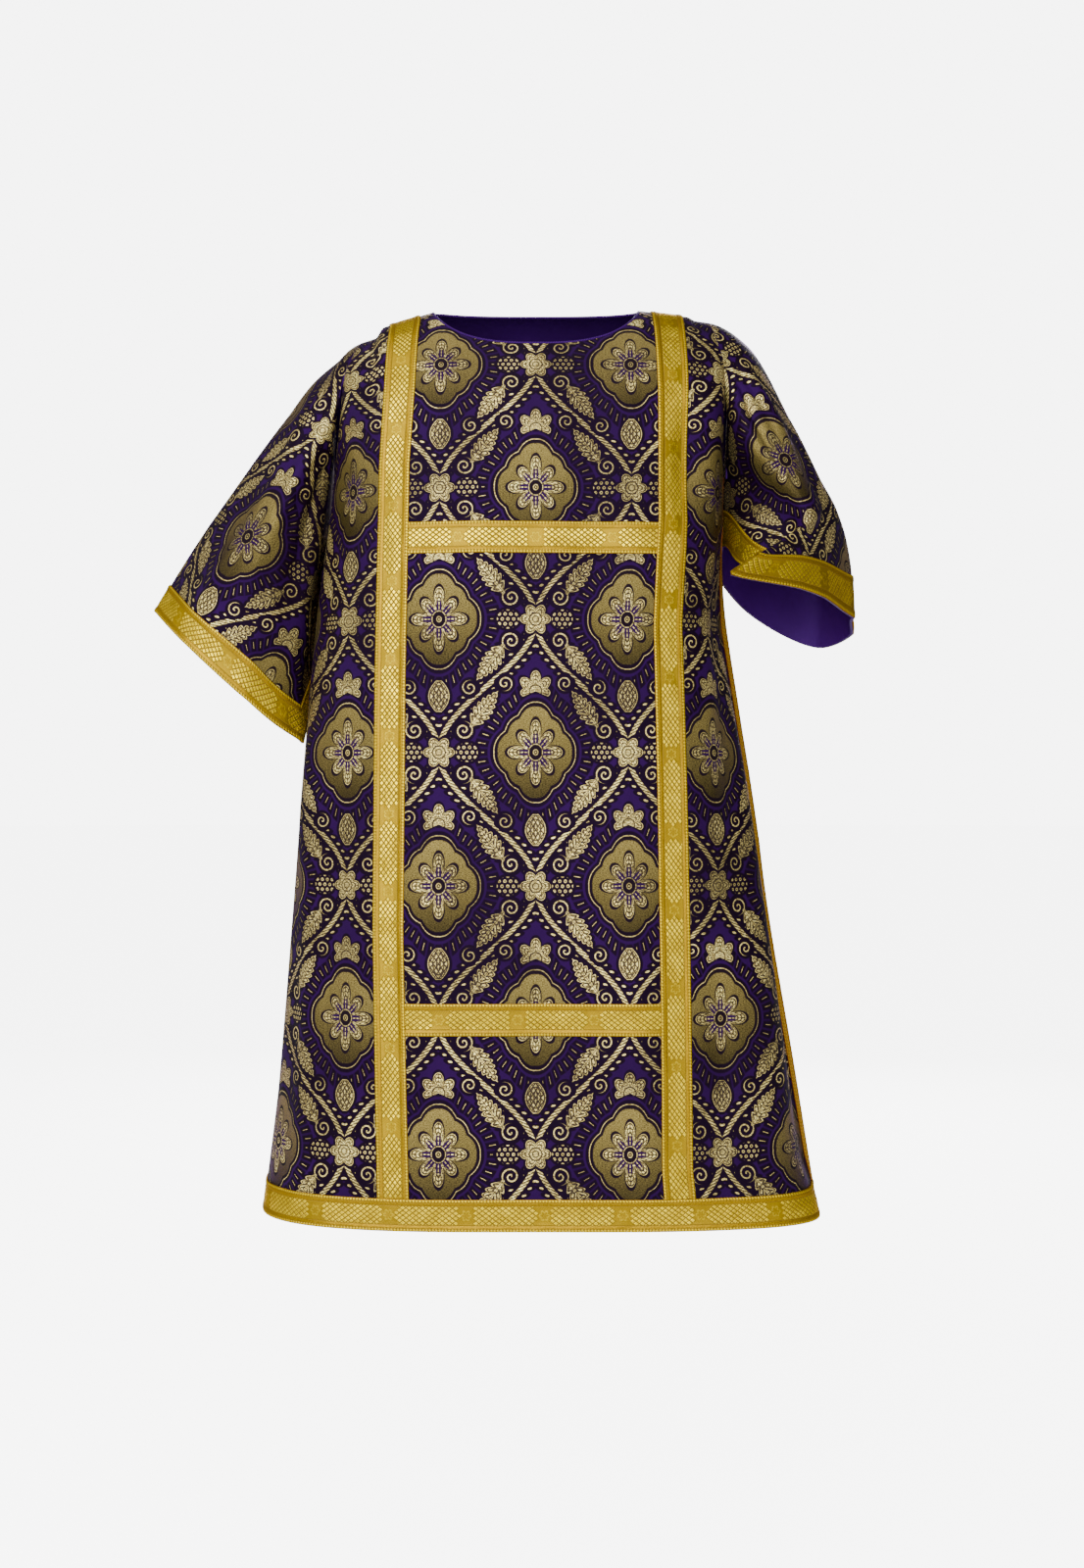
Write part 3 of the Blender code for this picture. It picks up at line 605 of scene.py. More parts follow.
def damask(u, v):
    """Generic ogee damask: shares of gold, olive ground and dark outline, and a painted shade for the ground,
    0 above the middle of each ogee and 1 below it.
    """
    wide, high = DAMASK_WIDE, DAMASK_HIGH
    k = math.tau / high
    x1, y1 = absolute(wrap(u, wide)), wrap(v * -1, high)
    x2, y2 = wide / 2 - x1, wrap(v * -1 - high / 2, high)
    d0 = x1 - (cosine(y1 * k) + 1) * (wide / 4)
    inside = less(d0, 0)
    x, y = blend(x2, x1, inside), blend(y2, y1, inside)
    up = absolute(y)
    slope = sine(up * k) * (wide / 4 * k)
    rib = absolute(d0) / root(slope * slope + 1)

    # ribbons of the ogee, with ticks and a string of beads
    s = up * 1.22
    ribbon = rib - 0.0038
    ticks = line(wrap(s - rib * 0.9, 0.0062), 0.0016) * filled(rib - 0.0032)
    beads = length(wrap(s, 0.0112), rib - 0.0088) - 0.0027

    # rosettes where ribbons meet
    far = less(0, x * wide - up * high + (high * high - wide * wide) / 4)
    nx, ny = blend(x, wide / 2 - x, far), blend(high / 2 - up, up, far)
    nr, nt = length(nx, ny), angle_of(nx, ny)
    rosette = nr - (absolute(sine(nt * 3)) * 0.0074 + 0.0138)
    rosette_cuts = most(
        line(sine(nt * 18), 0.42) * filled(0.0105 - nr) * filled(rosette + 0.0024),
        line(nr - 0.0082, 0.0010),
        line(nr - 0.0042, 0.0008),
    )

    # medallion with a flower
    mx, my = x * (1 / 0.054), up * (1 / 0.065)
    m = power(power(mx, 1.30) + power(my, 1.30), 1 / 1.30)
    medallion = (m - 1 - absolute(sine(angle_of(mx, my) * 6)) * 0.06) * 0.047
    fy = y * 0.86
    r, t = length(x, fy), angle_of(x, fy)
    lobe = absolute(cosine(t * 4))
    flower = r - (power(lobe, 0.7) * (cosine(t * 4) * 0.12 + 0.88) * 0.0240 + 0.0130)
    inner = r - (power(lobe, 1.4) * 0.0165 + 0.0078)
    flower_cuts = most(
        line(sine(t * 24), 0.46) * filled(flower + 0.0026) * filled(0 - inner), line(inner, 0.0012)
    )
    core = r - 0.0078

    # short rays round the medallion
    rays = most(
        absolute(medallion - 0.0150) - 0.0048,
        absolute(sine(angle_of(mx, my) * 22)) * 0.0045 - 0.0012,
    )

    # palmette above and netted bud below
    py = y - 0.079
    pr, pt = length(x, py), angle_of(x, py)
    fan = pr - (absolute(cosine(pt * 3.5)) * ramp(2.4, 0.6, pt) * 0.0110 + 0.0165)
    palmette = most(fan, (pt - 2.0) * 0.02)
    palmette_cuts = most(
        line(sine(pt * 17.5), 0.42) * filled(0.0105 - pr) * filled(palmette + 0.0024),
        line(pr - 0.0080, 0.0010),
    )
    by = y + 0.100
    bud = most(absolute(by) - 0.021, x - (1 - by * by * (1 / 0.024**2)) * 0.0145)
    bud_cuts = most(
        line(wrap(x + by * 0.7, 0.0068), 0.0012), line(wrap(x - by * 0.7, 0.0068), 0.0012)
    ) * filled(bud + 0.0024)

    # volutes, a serrated leaf and a cluster of berries between the medallion and the ribbon
    curl = volute(x - 0.0930, up - 0.0285, 0.15, 0.0125, 0.0070, 1)
    curl_high = volute(x - 0.0400, up - 0.0890, 0.40, 0.0105, 0.0066, -1)
    c, n = math.cos(2.22), math.sin(2.22)
    ax, ay = x - 0.0665, up - 0.0560
    lx, ly = ax * c + ay * n, absolute(ay * c - ax * n)
    q = lx * (1 / 0.031)
    wide_here = (1 - q * q) * (1 - q * 0.25) * 0.0115
    serrated = absolute(sine((lx - ly * 0.6) * (math.pi / 0.0088))) * 0.45 + 0.70
    leaf = most((ly - wide_here * serrated) * 0.8, absolute(lx) - 0.031)
    leaf_cuts = most(
        line(wrap(lx - ly * 0.9, 0.0056), 0.0015) * filled(ly - wide_here * 0.66) * filled(0.0014 - ly),
        line(ly, 0.0006) * filled(q - 0.75),
    )
    ex = x - 0.0890
    gx, gy = absolute(wrap(ex, 0.0074)), absolute(wrap(y, 0.0074 * 1.732))
    grapes = least(length(gx, gy), length(0.0037 - gx, 0.0074 * 0.866 - gy)) - 0.0029
    berries = most(grapes, (length(ex * (1 / 0.0150), y * (1 / 0.0130)) - 1) * 0.014)

    rim = absolute(medallion + 0.0002) - 0.0012
    above = least(
        rosette, most(flower, 0 - core), core + 0.0035, rim, palmette, bud, curl, curl_high, leaf, berries
    )
    figure = least(above, most(least(ribbon, beads, rays), OUTLINE - above))
    engraved = line(wrap(above + 0.0026, 0.0048), 0.00105) * filled(above + 0.0013)
    cuts = most(
        flower_cuts, palmette_cuts, bud_cuts, leaf_cuts, rosette_cuts, engraved,
        ticks * filled(OUTLINE - above),
    )
    heart = filled(inner + 0.0012) * filled(0.0016 - core) * filled(0.16 - absolute(sine(t * 4)))
    gold = filled(figure + 0.0010) * (1 - most(cuts * 0.96, heart))
    dark = filled(figure - OUTLINE) * (1 - heart)
    # the last is painted shade: the olive ground darker from the top to the bottom of each ogee's middle
    return gold, filled(medallion) * (1 - heart), dark, ramp(0.055, -0.055, y)


def group(name, outputs, pattern):
    """A node group of one pattern on U and V."""
    tree = bpy.data.node_groups.new(name, "ShaderNodeTree")
    for way, labels in (("INPUT", ("U", "V")), ("OUTPUT", outputs)):
        for label in labels:
            tree.interface.new_socket(name=label, in_out=way, socket_type="NodeSocketFloat")
    start, end = tree.nodes.new("NodeGroupInput"), tree.nodes.new("NodeGroupOutput")
    for value, socket in zip(pattern(Num(tree, start.outputs[0]), Num(tree, start.outputs[1])), end.inputs):
        feed(socket, value)
    return tree


# ---- galloon
GALLOON_REPEAT = 0.087
LOZENGE_WIDE = 0.0056
LOZENGE_HIGH = 0.0074


def galloon(u, v):
    """Woven braid, u across from its middle and v along it: bright lozenges, the dull patches
    between their stretches, brown lines, dotted margins and edges."""
    side = absolute(u)
    s = wrap(v, GALLOON_REPEAT)
    wide, high = LOZENGE_WIDE, LOZENGE_HIGH
    lattice = absolute(wrap(u, wide)) * (1 / wide) + absolute(wrap(v, high)) * (1 / high)
    odd = less(lattice, 0.5)
    middle_u = u - blend(wrap(u - wide / 2, wide), wrap(u, wide), odd)
    middle_v = v - blend(wrap(v - high / 2, high), wrap(v, high), odd)
    ends = absolute(wrap(middle_v, GALLOON_REPEAT))
    patch = filled(ends - middle_u * middle_u * 42 - 0.0075, 0.0001)
    brown = line(lattice - 0.5, 0.075, 0.05)
    bright = filled(0.14 - absolute(lattice - 0.5), 0.07)
    turned = angle_of(u, s)
    flower = length(u, s) - (absolute(cosine(turned * 3)) * 0.0026 + 0.0030)
    woven = line(wrap(v + side * 0.5, 0.0018), 0.0004, 0.0003)
    middle = filled(side - 0.0104, 0.0003)
    holes = length(wrap(v, 0.0036), side - 0.0147) - 0.0007
    rail = most(line(side - 0.0106, 0.0003, 0.0003), filled(holes, 0.0003))
    dots = length(wrap(v + 0.0018, 0.0036), side - 0.0164) - 0.0013
    return (
        bright * (1 - patch) * middle,
        most(brown * (1 - patch) * middle, rail),
        patch * middle,
        most(line(flower, 0.0009, 0.0004), woven * 0.5) * patch * middle,
        filled(dots, 0.0004),
        filled(side - 0.0175, 0.0003),
    )


# ---- materials

def tone(red, green, blue):
    """A colour in linear light."""
    return (red, green, blue, 1)


class Finish:
    """A material under construction, with short ways to make its nodes."""

    def __init__(self, name, roughness, specular=0.5, tint=(1, 1, 1, 1)):
        self.made = bpy.data.materials.new(name)
        self.made.use_nodes = True
        self.tree = self.made.node_tree
        self.shader = self.tree.nodes["Principled BSDF"]
        self.set("Roughness", roughness)
        self.set("Specular IOR Level", specular)
        self.set("Specular Tint", tint)

    def set(self, name, value):
        feed(self.shader.inputs[name], value)

    def cut(self):
        """Distances across and along the flat cut."""
        place = new_node(self.tree, "ShaderNodeUVMap", uv_map="Cut")
        parts = new_node(self.tree, "ShaderNodeSeparateXYZ", {0: place.outputs["UV"]})
        return Num(self.tree, parts.outputs[0]), Num(self.tree, parts.outputs[1])

    def pattern(self, tree, u, v):
        node = new_node(self.tree, "ShaderNodeGroup", {0: u, 1: v}, node_tree=tree)
        return [Num(self.tree, socket) for socket in node.outputs]

    def noise(self, u, v, scale, stretch=1.0, detail=2.0):
        """Noise from 0 to 1 on the cut, stretch times finer down than across."""
        at = new_node(self.tree, "ShaderNodeCombineXYZ", {0: u, 1: v * stretch})
        inputs = {"Scale": scale, "Detail": detail, "Vector": at.outputs[0]}
        node = new_node(self.tree, "ShaderNodeTexNoise", inputs, noise_dimensions="2D")
        return Num(self.tree, node.outputs[0])

    def mix(self, first, second, share):
        """Between two colours, each a tuple or a socket."""
        inputs = {0: share, 6: first, 7: second}
        return new_node(self.tree, "ShaderNodeMix", inputs, data_type="RGBA").outputs[2]

    def shaded(self, colour, share):
        """A colour times a number."""
        inputs = {0: colour, "Scale": share}
        return new_node(self.tree, "ShaderNodeVectorMath", inputs, operation="SCALE").outputs[0]

    def bump(self, height, distance, strength=1.0):
        """A bump on top of those made before it."""
        inputs = {"Height": height, "Distance": distance, "Strength": strength}
        node = new_node(self.tree, "ShaderNodeBump", inputs)
        normal = self.shader.inputs["Normal"]
        if normal.is_linked:
            feed(node.inputs["Normal"], normal.links[0].from_socket)
        feed(normal, node.outputs[0])


def brocade_finish():
    f = Finish("violet figured brocade", 0.42, specular=0.08, tint=tone(0.55, 0.30, 1.0))
    u, v = f.cut()
    tree = group("damask", ("Gold", "Olive", "Dark", "Depth"), damask)
    gold, olive, dark, depth = f.pattern(tree, u * DAMASK_SCALE, v * DAMASK_SCALE)
    speckle = f.noise(u, v, 560, 2.4, 1.0)
    dashes = ramp(0.36, 0.64, f.noise(u, v, 210, 5.5, 1.0))
    broad = f.noise(u, v, 9, 1.0, 3.0)
    # painted sheen: the violet satin lighter and darker in broad patches, with the same noise that brightens
    # the gold
    satin = f.mix(tone(0.0080, 0.0013, 0.0160), tone(0.0184, 0.0016, 0.0464), broad)
    ground = f.mix(tone(0.048, 0.036, 0.0096), tone(0.33, 0.252, 0.072), ramp(0.25, 0.75, speckle))
    # painted shade: depth darkens the olive ground from the top of each medallion to its bottom
    ground = f.shaded(ground, 0.95 - depth * 0.74)
    under = f.mix(satin, ground, olive)
    edged = f.mix(under, tone(0.0036, 0.0010, 0.0032), dark * 0.98)
    # the gold thread in fine horizontal dashes: partly the weft's own texture, partly painted glints on the
    # threads
    thread = f.mix(tone(0.33, 0.245, 0.070), tone(1.0, 0.815, 0.290), dashes)
    # painted sheen: the gold thread lighter and darker in the same broad patches
    thread = f.shaded(thread, 0.52 + ramp(0.35, 0.65, broad) * 0.92)
    f.set("Base Color", f.mix(edged, thread, gold))
    lurex = most(gold, olive * (1 - dark) * 0.7)
    f.set("Metallic", lurex * 0.88)
    f.set("Roughness", 0.24 + ramp(0.2, 0.8, speckle) * 0.10 + (1 - lurex) * 0.23)
    f.bump(f.noise(u, v, 24, 0.8, 2.0), 0.0030, 0.7)
    twill = sine((u * 0.8 + v) * (math.tau / 0.0011))
    ribs = sine(v * (math.tau / 0.0013)) + speckle * 1.5
    f.bump(twill, 0.00006, (1 - gold) * 0.7)
    f.bump(ribs, 0.00016, most(gold, olive * 0.8))
    f.bump(f.noise(u, v, 240, 3.0, 1.0), 0.0012, gold * 0.8)
    return f.made


def lining_finish():
    f = Finish("violet lining", 0.38, specular=0.20, tint=tone(0.55, 0.30, 1.0))
    u, v = f.cut()
    broad = f.noise(u, v, 14, 0.5, 3.0)
    f.set("Base Color", f.mix(tone(0.021, 0.0010, 0.060), tone(0.035, 0.0016, 0.104), broad))
    f.set("Roughness", 0.34 + broad * 0.14)
    f.bump(sine((u + v * 0.7) * (math.tau / 0.0009)), 0.00005, 0.6)
    return f.made


def galloon_finish():
    f = Finish("gold galloon", 0.34, specular=0.12, tint=tone(1.0, 0.66, 0.12))
    u, v = f.cut()
    tree = group("galloon", ("Bright", "Brown", "Patch", "Flower", "Dots", "Middle"), galloon)
    bright, brown, patch, flower, dots, middle = f.pattern(tree, u, v)
    grain = f.noise(u, v, 900, 0.6, 1.0)
    base = f.mix(tone(0.20, 0.118, 0.003), tone(0.33, 0.199, 0.005), ramp(0.3, 0.7, grain))
    # painted glints: the bright floats' colour lighter in patches along the band
    glint = ramp(0.30, 0.70, f.noise(u, v, 70, 0.8, 2.0))
    base = f.mix(base, f.mix(tone(0.52, 0.358, 0.005), tone(0.80, 0.585, 0.013), glint), bright * 0.97)
    base = f.mix(base, tone(0.24, 0.145, 0.004), patch * 0.8)
    base = f.mix(base, tone(0.48, 0.34, 0.008), flower * 0.7)
    base = f.mix(base, tone(0.70, 0.50, 0.012), dots * 0.7)
    base = f.mix(base, tone(0.165, 0.102, 0.020), brown * 0.85)
    base = f.mix(tone(0.19, 0.088, 0.008), base, middle)
    f.set("Base Color", base)
    f.set("Metallic", 0.86 - brown * 0.3)
    f.set("Roughness", 0.40 - bright * (0.14 + glint * 0.08) + brown * 0.2 + ramp(0.2, 0.8, grain) * 0.08)
    f.bump(f.noise(u, v, 40, 0.6, 2.0), 0.0022, 0.8)
    f.bump(bright + dots * 1.5 + flower * 0.7 - brown * 0.8, 0.00035, 0.9)
    f.bump(sine(v * (math.tau / 0.0009)) * 0.5 + grain, 0.00008, 0.6)
    return f.made


def braid_finish():
    f = Finish("narrow gold braid", 0.36, specular=0.12, tint=tone(1.0, 0.66, 0.12))
    u, v = f.cut()
    twist = sine((v + absolute(u) * 1.6) * (math.tau / 0.0040))
    stripe = line(absolute(u) - 0.0024, 0.0005, 0.0003)
    edge = filled(absolute(u) - 0.0044, 0.0003)
    # painted highlight and shade: the braid's colour lighter on each twist's crest and darker between
    base = f.mix(tone(0.30, 0.142, 0.008), tone(0.74, 0.43, 0.040), ramp(-0.8, 0.8, twist))
    base = f.mix(base, tone(0.136, 0.032, 0.006), stripe * 0.9)
    f.set("Base Color", f.mix(tone(0.24, 0.064, 0.016), base, edge))
    f.set("Metallic", 0.75 - stripe * 0.4)
    f.bump(twist - stripe, 0.0003, 0.9)
    return f.made


def cord_finish():
    f = Finish("violet piping", 0.40, specular=0.20, tint=tone(0.55, 0.30, 1.0))
    u, v = f.cut()
    twist = sine((v + u * 1.2) * (math.tau / 0.0030))
    dim, lit = tone(0.0144, 0.0008, 0.042), tone(0.034, 0.0014, 0.096)
    # painted highlight and shade: the cord lit on each twist's crest and dim between
    f.set("Base Color", f.mix(dim, lit, ramp(-1.0, 1.0, twist)))
    f.bump(twist, 0.0002, 0.8)
    return f.made


FLOOR_GLOW = 5.95  # only as the camera sees it


def paper_finish():
    """A plain pale floor, lit apart from the garment, as in the photo."""
    f = Finish("pale floor", 0.85)
    place = new_node(f.tree, "ShaderNodeTexCoord")
    grain = new_node(f.tree, "ShaderNodeTexNoise", {"Scale": 3.0, "Vector": place.outputs["Object"]})
    share = Num(f.tree, grain.outputs[0])
    f.set("Base Color", f.mix(tone(0.84, 0.84, 0.835), tone(0.88, 0.88, 0.875), share))
    seen = new_node(f.tree, "ShaderNodeLightPath")
    f.set("Emission Color", tone(1, 1, 1))
    f.set("Emission Strength", Num(f.tree, seen.outputs["Is Camera Ray"]) * FLOOR_GLOW)
    return f.made


BROCADE = brocade_finish()
LINING = lining_finish()
GALLOON_GOLD = galloon_finish()
BRAID_GOLD = braid_finish()
CORD = cord_finish()


# ---- the garment

def cut_area(uv):
    """Area of a grid of points on the flat cut."""
    a, b, c, d = uv[:-1, :-1], uv[1:, :-1], uv[1:, 1:], uv[:-1, 1:]
    p, q = c - a, d - b
    return float(np.abs(p[..., 0] * q[..., 1] - p[..., 1] * q[..., 0]).sum() / 2)


ROW_STEP = 0.0056
COLUMN_STEP = 0.0052
NECK_COLUMNS = NECK_HALF * np.sin(np.linspace(0, math.pi / 2, 27))
CLAVUS_COLUMNS = spread((NECK_HALF, CLAVUS_EDGE, CLAVUS_MIDDLE + GALLOON / 2), COLUMN_STEP)[1:]
INNER_COLUMNS = np.concatenate([NECK_COLUMNS, CLAVUS_COLUMNS])
CLAVUS_INNER = nearest(INNER_COLUMNS, CLAVUS_EDGE)
CLAVUS_OUTER = len(INNER_COLUMNS) - 1
OUTER_CELLS = 36
BRAID_CELLS = 3
SIDE_COLUMNS = CLAVUS_OUTER + OUTER_CELLS + BRAID_CELLS
UPPER_SHARES = np.linspace(0, 1, 23)[:-1]
HELD_EDGE = 0.030  # creases fade out this near the side edges, down to HELD_DOWN
HELD_DOWN = 0.27
HELD_FADE = 0.10  # length over which that ends, and over which creases start at the top


def clavus_lean(name, side, down):
    places, leans = LEAN[side]
    if name == "back":
        return leans[0] * max(0.0, 1 - down / LEAN_ENDS)
    return float(np.interp(down, places, leans))


def panel_grids(name, table, depth, levels, creases):
    """A panel's inner and outer faces, normals and cut, with its creases."""
    grid, cut = [], []
    rows = [("upper", s) for s in UPPER_SHARES] + [("level", d) for d in levels]
    beyond_neck = np.clip((INNER_COLUMNS - NECK_HALF) / (CLAVUS_EDGE - NECK_HALF), 0, 1)
    for kind, value in rows:
        columns = {}
        at = value if kind == "level" else value * FIRST_LEVEL
        for side in ("left", "right"):
            width = half_width(table, side, at)[0] - seam_shift(name, at)
            inner = INNER_COLUMNS + clavus_lean(name, side, at) * beyond_neck
            outer = np.linspace(inner[-1], width - BRAID, OUTER_CELLS + 1)[1:]
            edge = np.linspace(width - BRAID, width, BRAID_CELLS + 1)[1:]
            columns[side] = SIGN[side] * np.concatenate([inner, outer, edge])
        across = np.concatenate([columns["left"][:0:-1], columns["right"]])
        if kind == "level":
            down = np.full(len(across), value)
        else:
            top = neckline(across, depth)
            down = top + value * (FIRST_LEVEL - top)
            for side, way in (("left", slice(0, BRAID_CELLS)), ("right", slice(-BRAID_CELLS, None))):
                limit = half_width(table, side, down[way]) - seam_shift(name, down[way])
                across[way] *= limit / np.abs(across[0 if side == "left" else -1])
        grid.append(panel_points(table, across, down))
        cut.append(np.stack([across, down], 1))
    grid, cut = np.array(grid), np.array(cut)
    if table is BACK:
        grid, cut = grid[:, ::-1], cut[:, ::-1]
    edge = np.abs(cut[:, [0, -1], 0])[:, [0] * SIDE_COLUMNS + [1] * (SIDE_COLUMNS + 1)]
    near_edge = np.clip((edge - np.abs(cut[..., 0])) / HELD_EDGE, 0, 1)
    free_edge = np.clip((cut[..., 1] - HELD_DOWN) / HELD_FADE, 0, 1)
    hold = np.maximum(near_edge, free_edge) * np.clip(cut[..., 1] / HELD_FADE, 0, 1)
    height = relief(creases, cut[..., 0], cut[..., 1]) * hold
    grid = grid + facing(grid) * height[..., None]
    normal = facing(grid)
    return grid, grid + normal * CLOTH, normal, cut


def mirrored(half, sign=1):
    """A row from its first half: its last value is the middle one."""
    return np.array([*half, *(sign * value for value in half[-2::-1])])


# Across a strip, -1 to 1, and its extra height there.
GALLOON_PLACES = mirrored((-1, -0.97, -0.92, -0.86, -0.80, -0.74, -0.69, -0.65, -0.6, -0.3, 0), -1)
GALLOON_LIFT = mirrored((0, 2, 4.4, 5.6, 5.8, 5.2, 3.6, 1.4, 0, 0.6, 0.8)) * 1e-4
BRAID_PLACES = mirrored((-1, -0.8, -0.5, -0.2, 0), -1)
BRAID_LIFT = mirrored((0, 2.5, 4, 2, 3.5)) * 1e-4
BRAID_TRIM = 0.0007
STOP_ROWS = 0.055  # share of a row's step that a strip stops short of a hem band
STOP_COLUMNS = 0.06  # share of a column's step that a bar stops short of a clavus


def laid_on(outer, normal, rows, columns, gap=SEAM_GAP):
    """A strip's inner face, at row and column numbers of the cloth under it, and its normals."""
    return lerp_grid(outer + normal * gap, rows, columns), lerp_grid(normal, rows, columns)


def trim(name, panel, rows, columns, uv, lift, finish, thickness=TRIM):
    """A strip on a panel. lift: its outer face's extra height."""
    below, out = laid_on(panel["outer"], panel["normal"], rows, columns)
    return shell(name, below, below + out * (thickness + lift)[..., None], uv, (finish,))


def band_cut(along):
    """The cut of galloon that runs with the columns, at distances along it."""
    return np.stack(np.meshgrid(along, GALLOON_PLACES * GALLOON / 2), -1)[..., ::-1]


def run_along(points, axis=0):
    """Distances along lines of points."""
    run = np.cumsum(np.linalg.norm(np.diff(points, axis=axis), axis=-1), axis=axis)
    return np.concatenate([np.zeros_like(np.take(run, [0], axis)), run], axis)


def flattened(grid, rough):
    """The flat cut of a tube slit under the arm, unwrapped with little stretch and laid on rough."""
    rows, columns = rough.shape[:2]
    points = closed(grid)
    quads = cell_corners(rows - 1, columns - 1) @ (columns, 1)
    mesh = bpy.data.meshes.new("unwrapped")
    mesh.from_pydata(points.reshape(-1, 3).tolist(), [], quads.tolist())
    mesh.uv_layers.new(name="Flat")
    piece = placed("unwrapped", mesh)
    bpy.context.view_layer.objects.active = piece
    piece.select_set(True)
    bpy.ops.object.mode_set(mode="EDIT")
    bpy.ops.mesh.select_all(action="SELECT")
    bpy.ops.uv.unwrap(method="MINIMUM_STRETCH", correct_aspect=False)
    bpy.ops.object.mode_set(mode="OBJECT")
    corners = np.empty(quads.size * 2)
    mesh.uv_layers["Flat"].uv.foreach_get("vector", corners)
    flat = np.zeros((rows * columns, 2))
    flat[quads.ravel()] = corners.reshape(-1, 2)
    bpy.data.objects.remove(piece)
    bpy.data.meshes.remove(mesh)
    flat = flat.reshape(rows, columns, 2)
    across, along = points[1:, 1:] - points[:-1, :-1], points[1:, :-1] - points[:-1, 1:]
    true_area = np.linalg.norm(np.cross(across, along), axis=2).sum() / 2
    flat *= math.sqrt(true_area / cut_area(flat))
    start, goal = flat.reshape(-1, 2), rough.reshape(-1, 2)
    left, _, right = np.linalg.svd((start - start.mean(0)).T @ (goal - goal.mean(0)))
    return (flat - start.mean(0)) @ (left @ right) + goal.mean(0)


hem = {"front": FRONT["down"][-1], "back": BACK["down"][-1]}
bar_edges = [edge for top in BAR_TOPS for edge in (top, top + GALLOON)]
level_marks = {
    "front": [FIRST_LEVEL, ARMHOLE["front"], *bar_edges, hem["front"] - GALLOON, hem["front"]],
    "back": [FIRST_LEVEL, ARMHOLE["back"], hem["back"] - GALLOON, hem["back"]],
}
panels, pieces = {}, {}
for name, table, depth, creases in (
    ("front", FRONT, NECK_FRONT, FRONT_CREASES),
    ("back", BACK, NECK_BACK, BACK_CREASES),
):
    marks = level_marks[name]
    levels = spread(marks, ROW_STEP)
    inner, outer, normal, cut = panel_grids(name, table, depth, levels, creases)
    pieces[f"{name}_panel"] = shell(f"{name}_brocade", inner, outer, cut, (BROCADE, LINING))
    row_of = {mark: len(UPPER_SHARES) + nearest(levels, mark) for mark in marks}
    panels[name] = {"inner": inner, "outer": outer, "normal": normal, "cut": cut, "rows": row_of}

MIDDLE = SIDE_COLUMNS
half_columns = (GALLOON_PLACES + 1) / 2
PATTERN_STARTS = {"left": 0, "right": 0.031}  # so that the two clavi aren't alike
BAR_STARTS = {"upper": 0, "lower": 0.02}

# Clavi, each one length of galloon over the shoulder.
for side in ("left", "right"):
    halves = []
    for name in ("front", "back"):
        p = panels[name]
        turned = SIGN[side] * (1 if name == "front" else -1)
        start, end = sorted((MIDDLE + turned * CLAVUS_INNER, MIDDLE + turned * CLAVUS_OUTER))
        last = p["rows"][hem[name] - GALLOON]
        rows = np.array([*range(last), last - STOP_ROWS])
        columns = start + half_columns * (end - start)
        halves.append(laid_on(p["outer"], p["normal"], rows, columns))
    joined = []
    for front, back in zip(*halves):
        back = back[:, ::-1]
        joined.append(np.vstack([front[:0:-1], ((front[0] + back[0]) / 2)[None], back[1:]])[::-1])
    base, normal = joined
    along = run_along(base[:, len(GALLOON_PLACES) // 2])
    uv = np.stack(np.meshgrid(GALLOON_PLACES * GALLOON / 2, along - PATTERN_STARTS[side]), -1)
    lifted = base + normal * (TRIM + GALLOON_LIFT)[None, :, None]
    pieces[f"clavus_{side}"] = shell(f"clavus_{side}_galloon", base, lifted, uv, (GALLOON_GOLD,))


def galloon_band(node, panel, first, last, columns, along):
    """Galloon across a panel between two rows of it, at distances along the galloon."""
    rows = first + half_columns * (last - first)
    lift = GALLOON_LIFT[:, None]
    pieces[node] = trim(f"{node}_galloon", panel, rows, columns, band_cut(along), lift, GALLOON_GOLD)


# Bars across the front, between the clavi.
front = panels["front"]
reach = CLAVUS_INNER - STOP_COLUMNS
whole_columns = np.arange(MIDDLE - CLAVUS_INNER + 1, MIDDLE + CLAVUS_INNER)
columns = np.array([MIDDLE - reach, *whole_columns, MIDDLE + reach])
for name, top in zip(("upper", "lower"), BAR_TOPS):
    first, last = front["rows"][top], front["rows"][top + GALLOON]
    across = lerp_grid(front["cut"], [first], columns)[0, :, 0]
    galloon_band(f"front_bar_{name}", front, first, last, columns, across + BAR_STARTS[name])

# Hem bands, and the narrow braid on the four open edges above them.
for name in ("front", "back"):
    p = panels[name]
    first, last = p["rows"][hem[name] - GALLOON], p["rows"][hem[name]]
    columns = np.arange(p["cut"].shape[1])
    middle_line = lerp_grid(p["outer"], [(first + last) / 2], columns)[0]
    galloon_band(f"hem_band_{name}", p, first, last, columns, run_along(middle_line))
    rows = np.array([*range(p["rows"][ARMHOLE[name]], first), first - STOP_ROWS])
    for side in ("left", "right"):
        start = 0 if (side == "left") == (name == "front") else 2 * MIDDLE - BRAID_CELLS
        columns = start + (BRAID_PLACES + 1) / 2 * BRAID_CELLS
        edge_line = lerp_grid(p["outer"], rows, [columns[len(columns) // 2]])[:, 0]
        uv = np.stack(np.meshgrid(BRAID_PLACES * BRAID / 2, run_along(edge_line)), -1)
        node = f"side_braid_{name}_{side}"
        pieces[node] = trim(f"{node}_edging", p, rows, columns, uv, BRAID_LIFT[None], BRAID_GOLD, BRAID_TRIM)

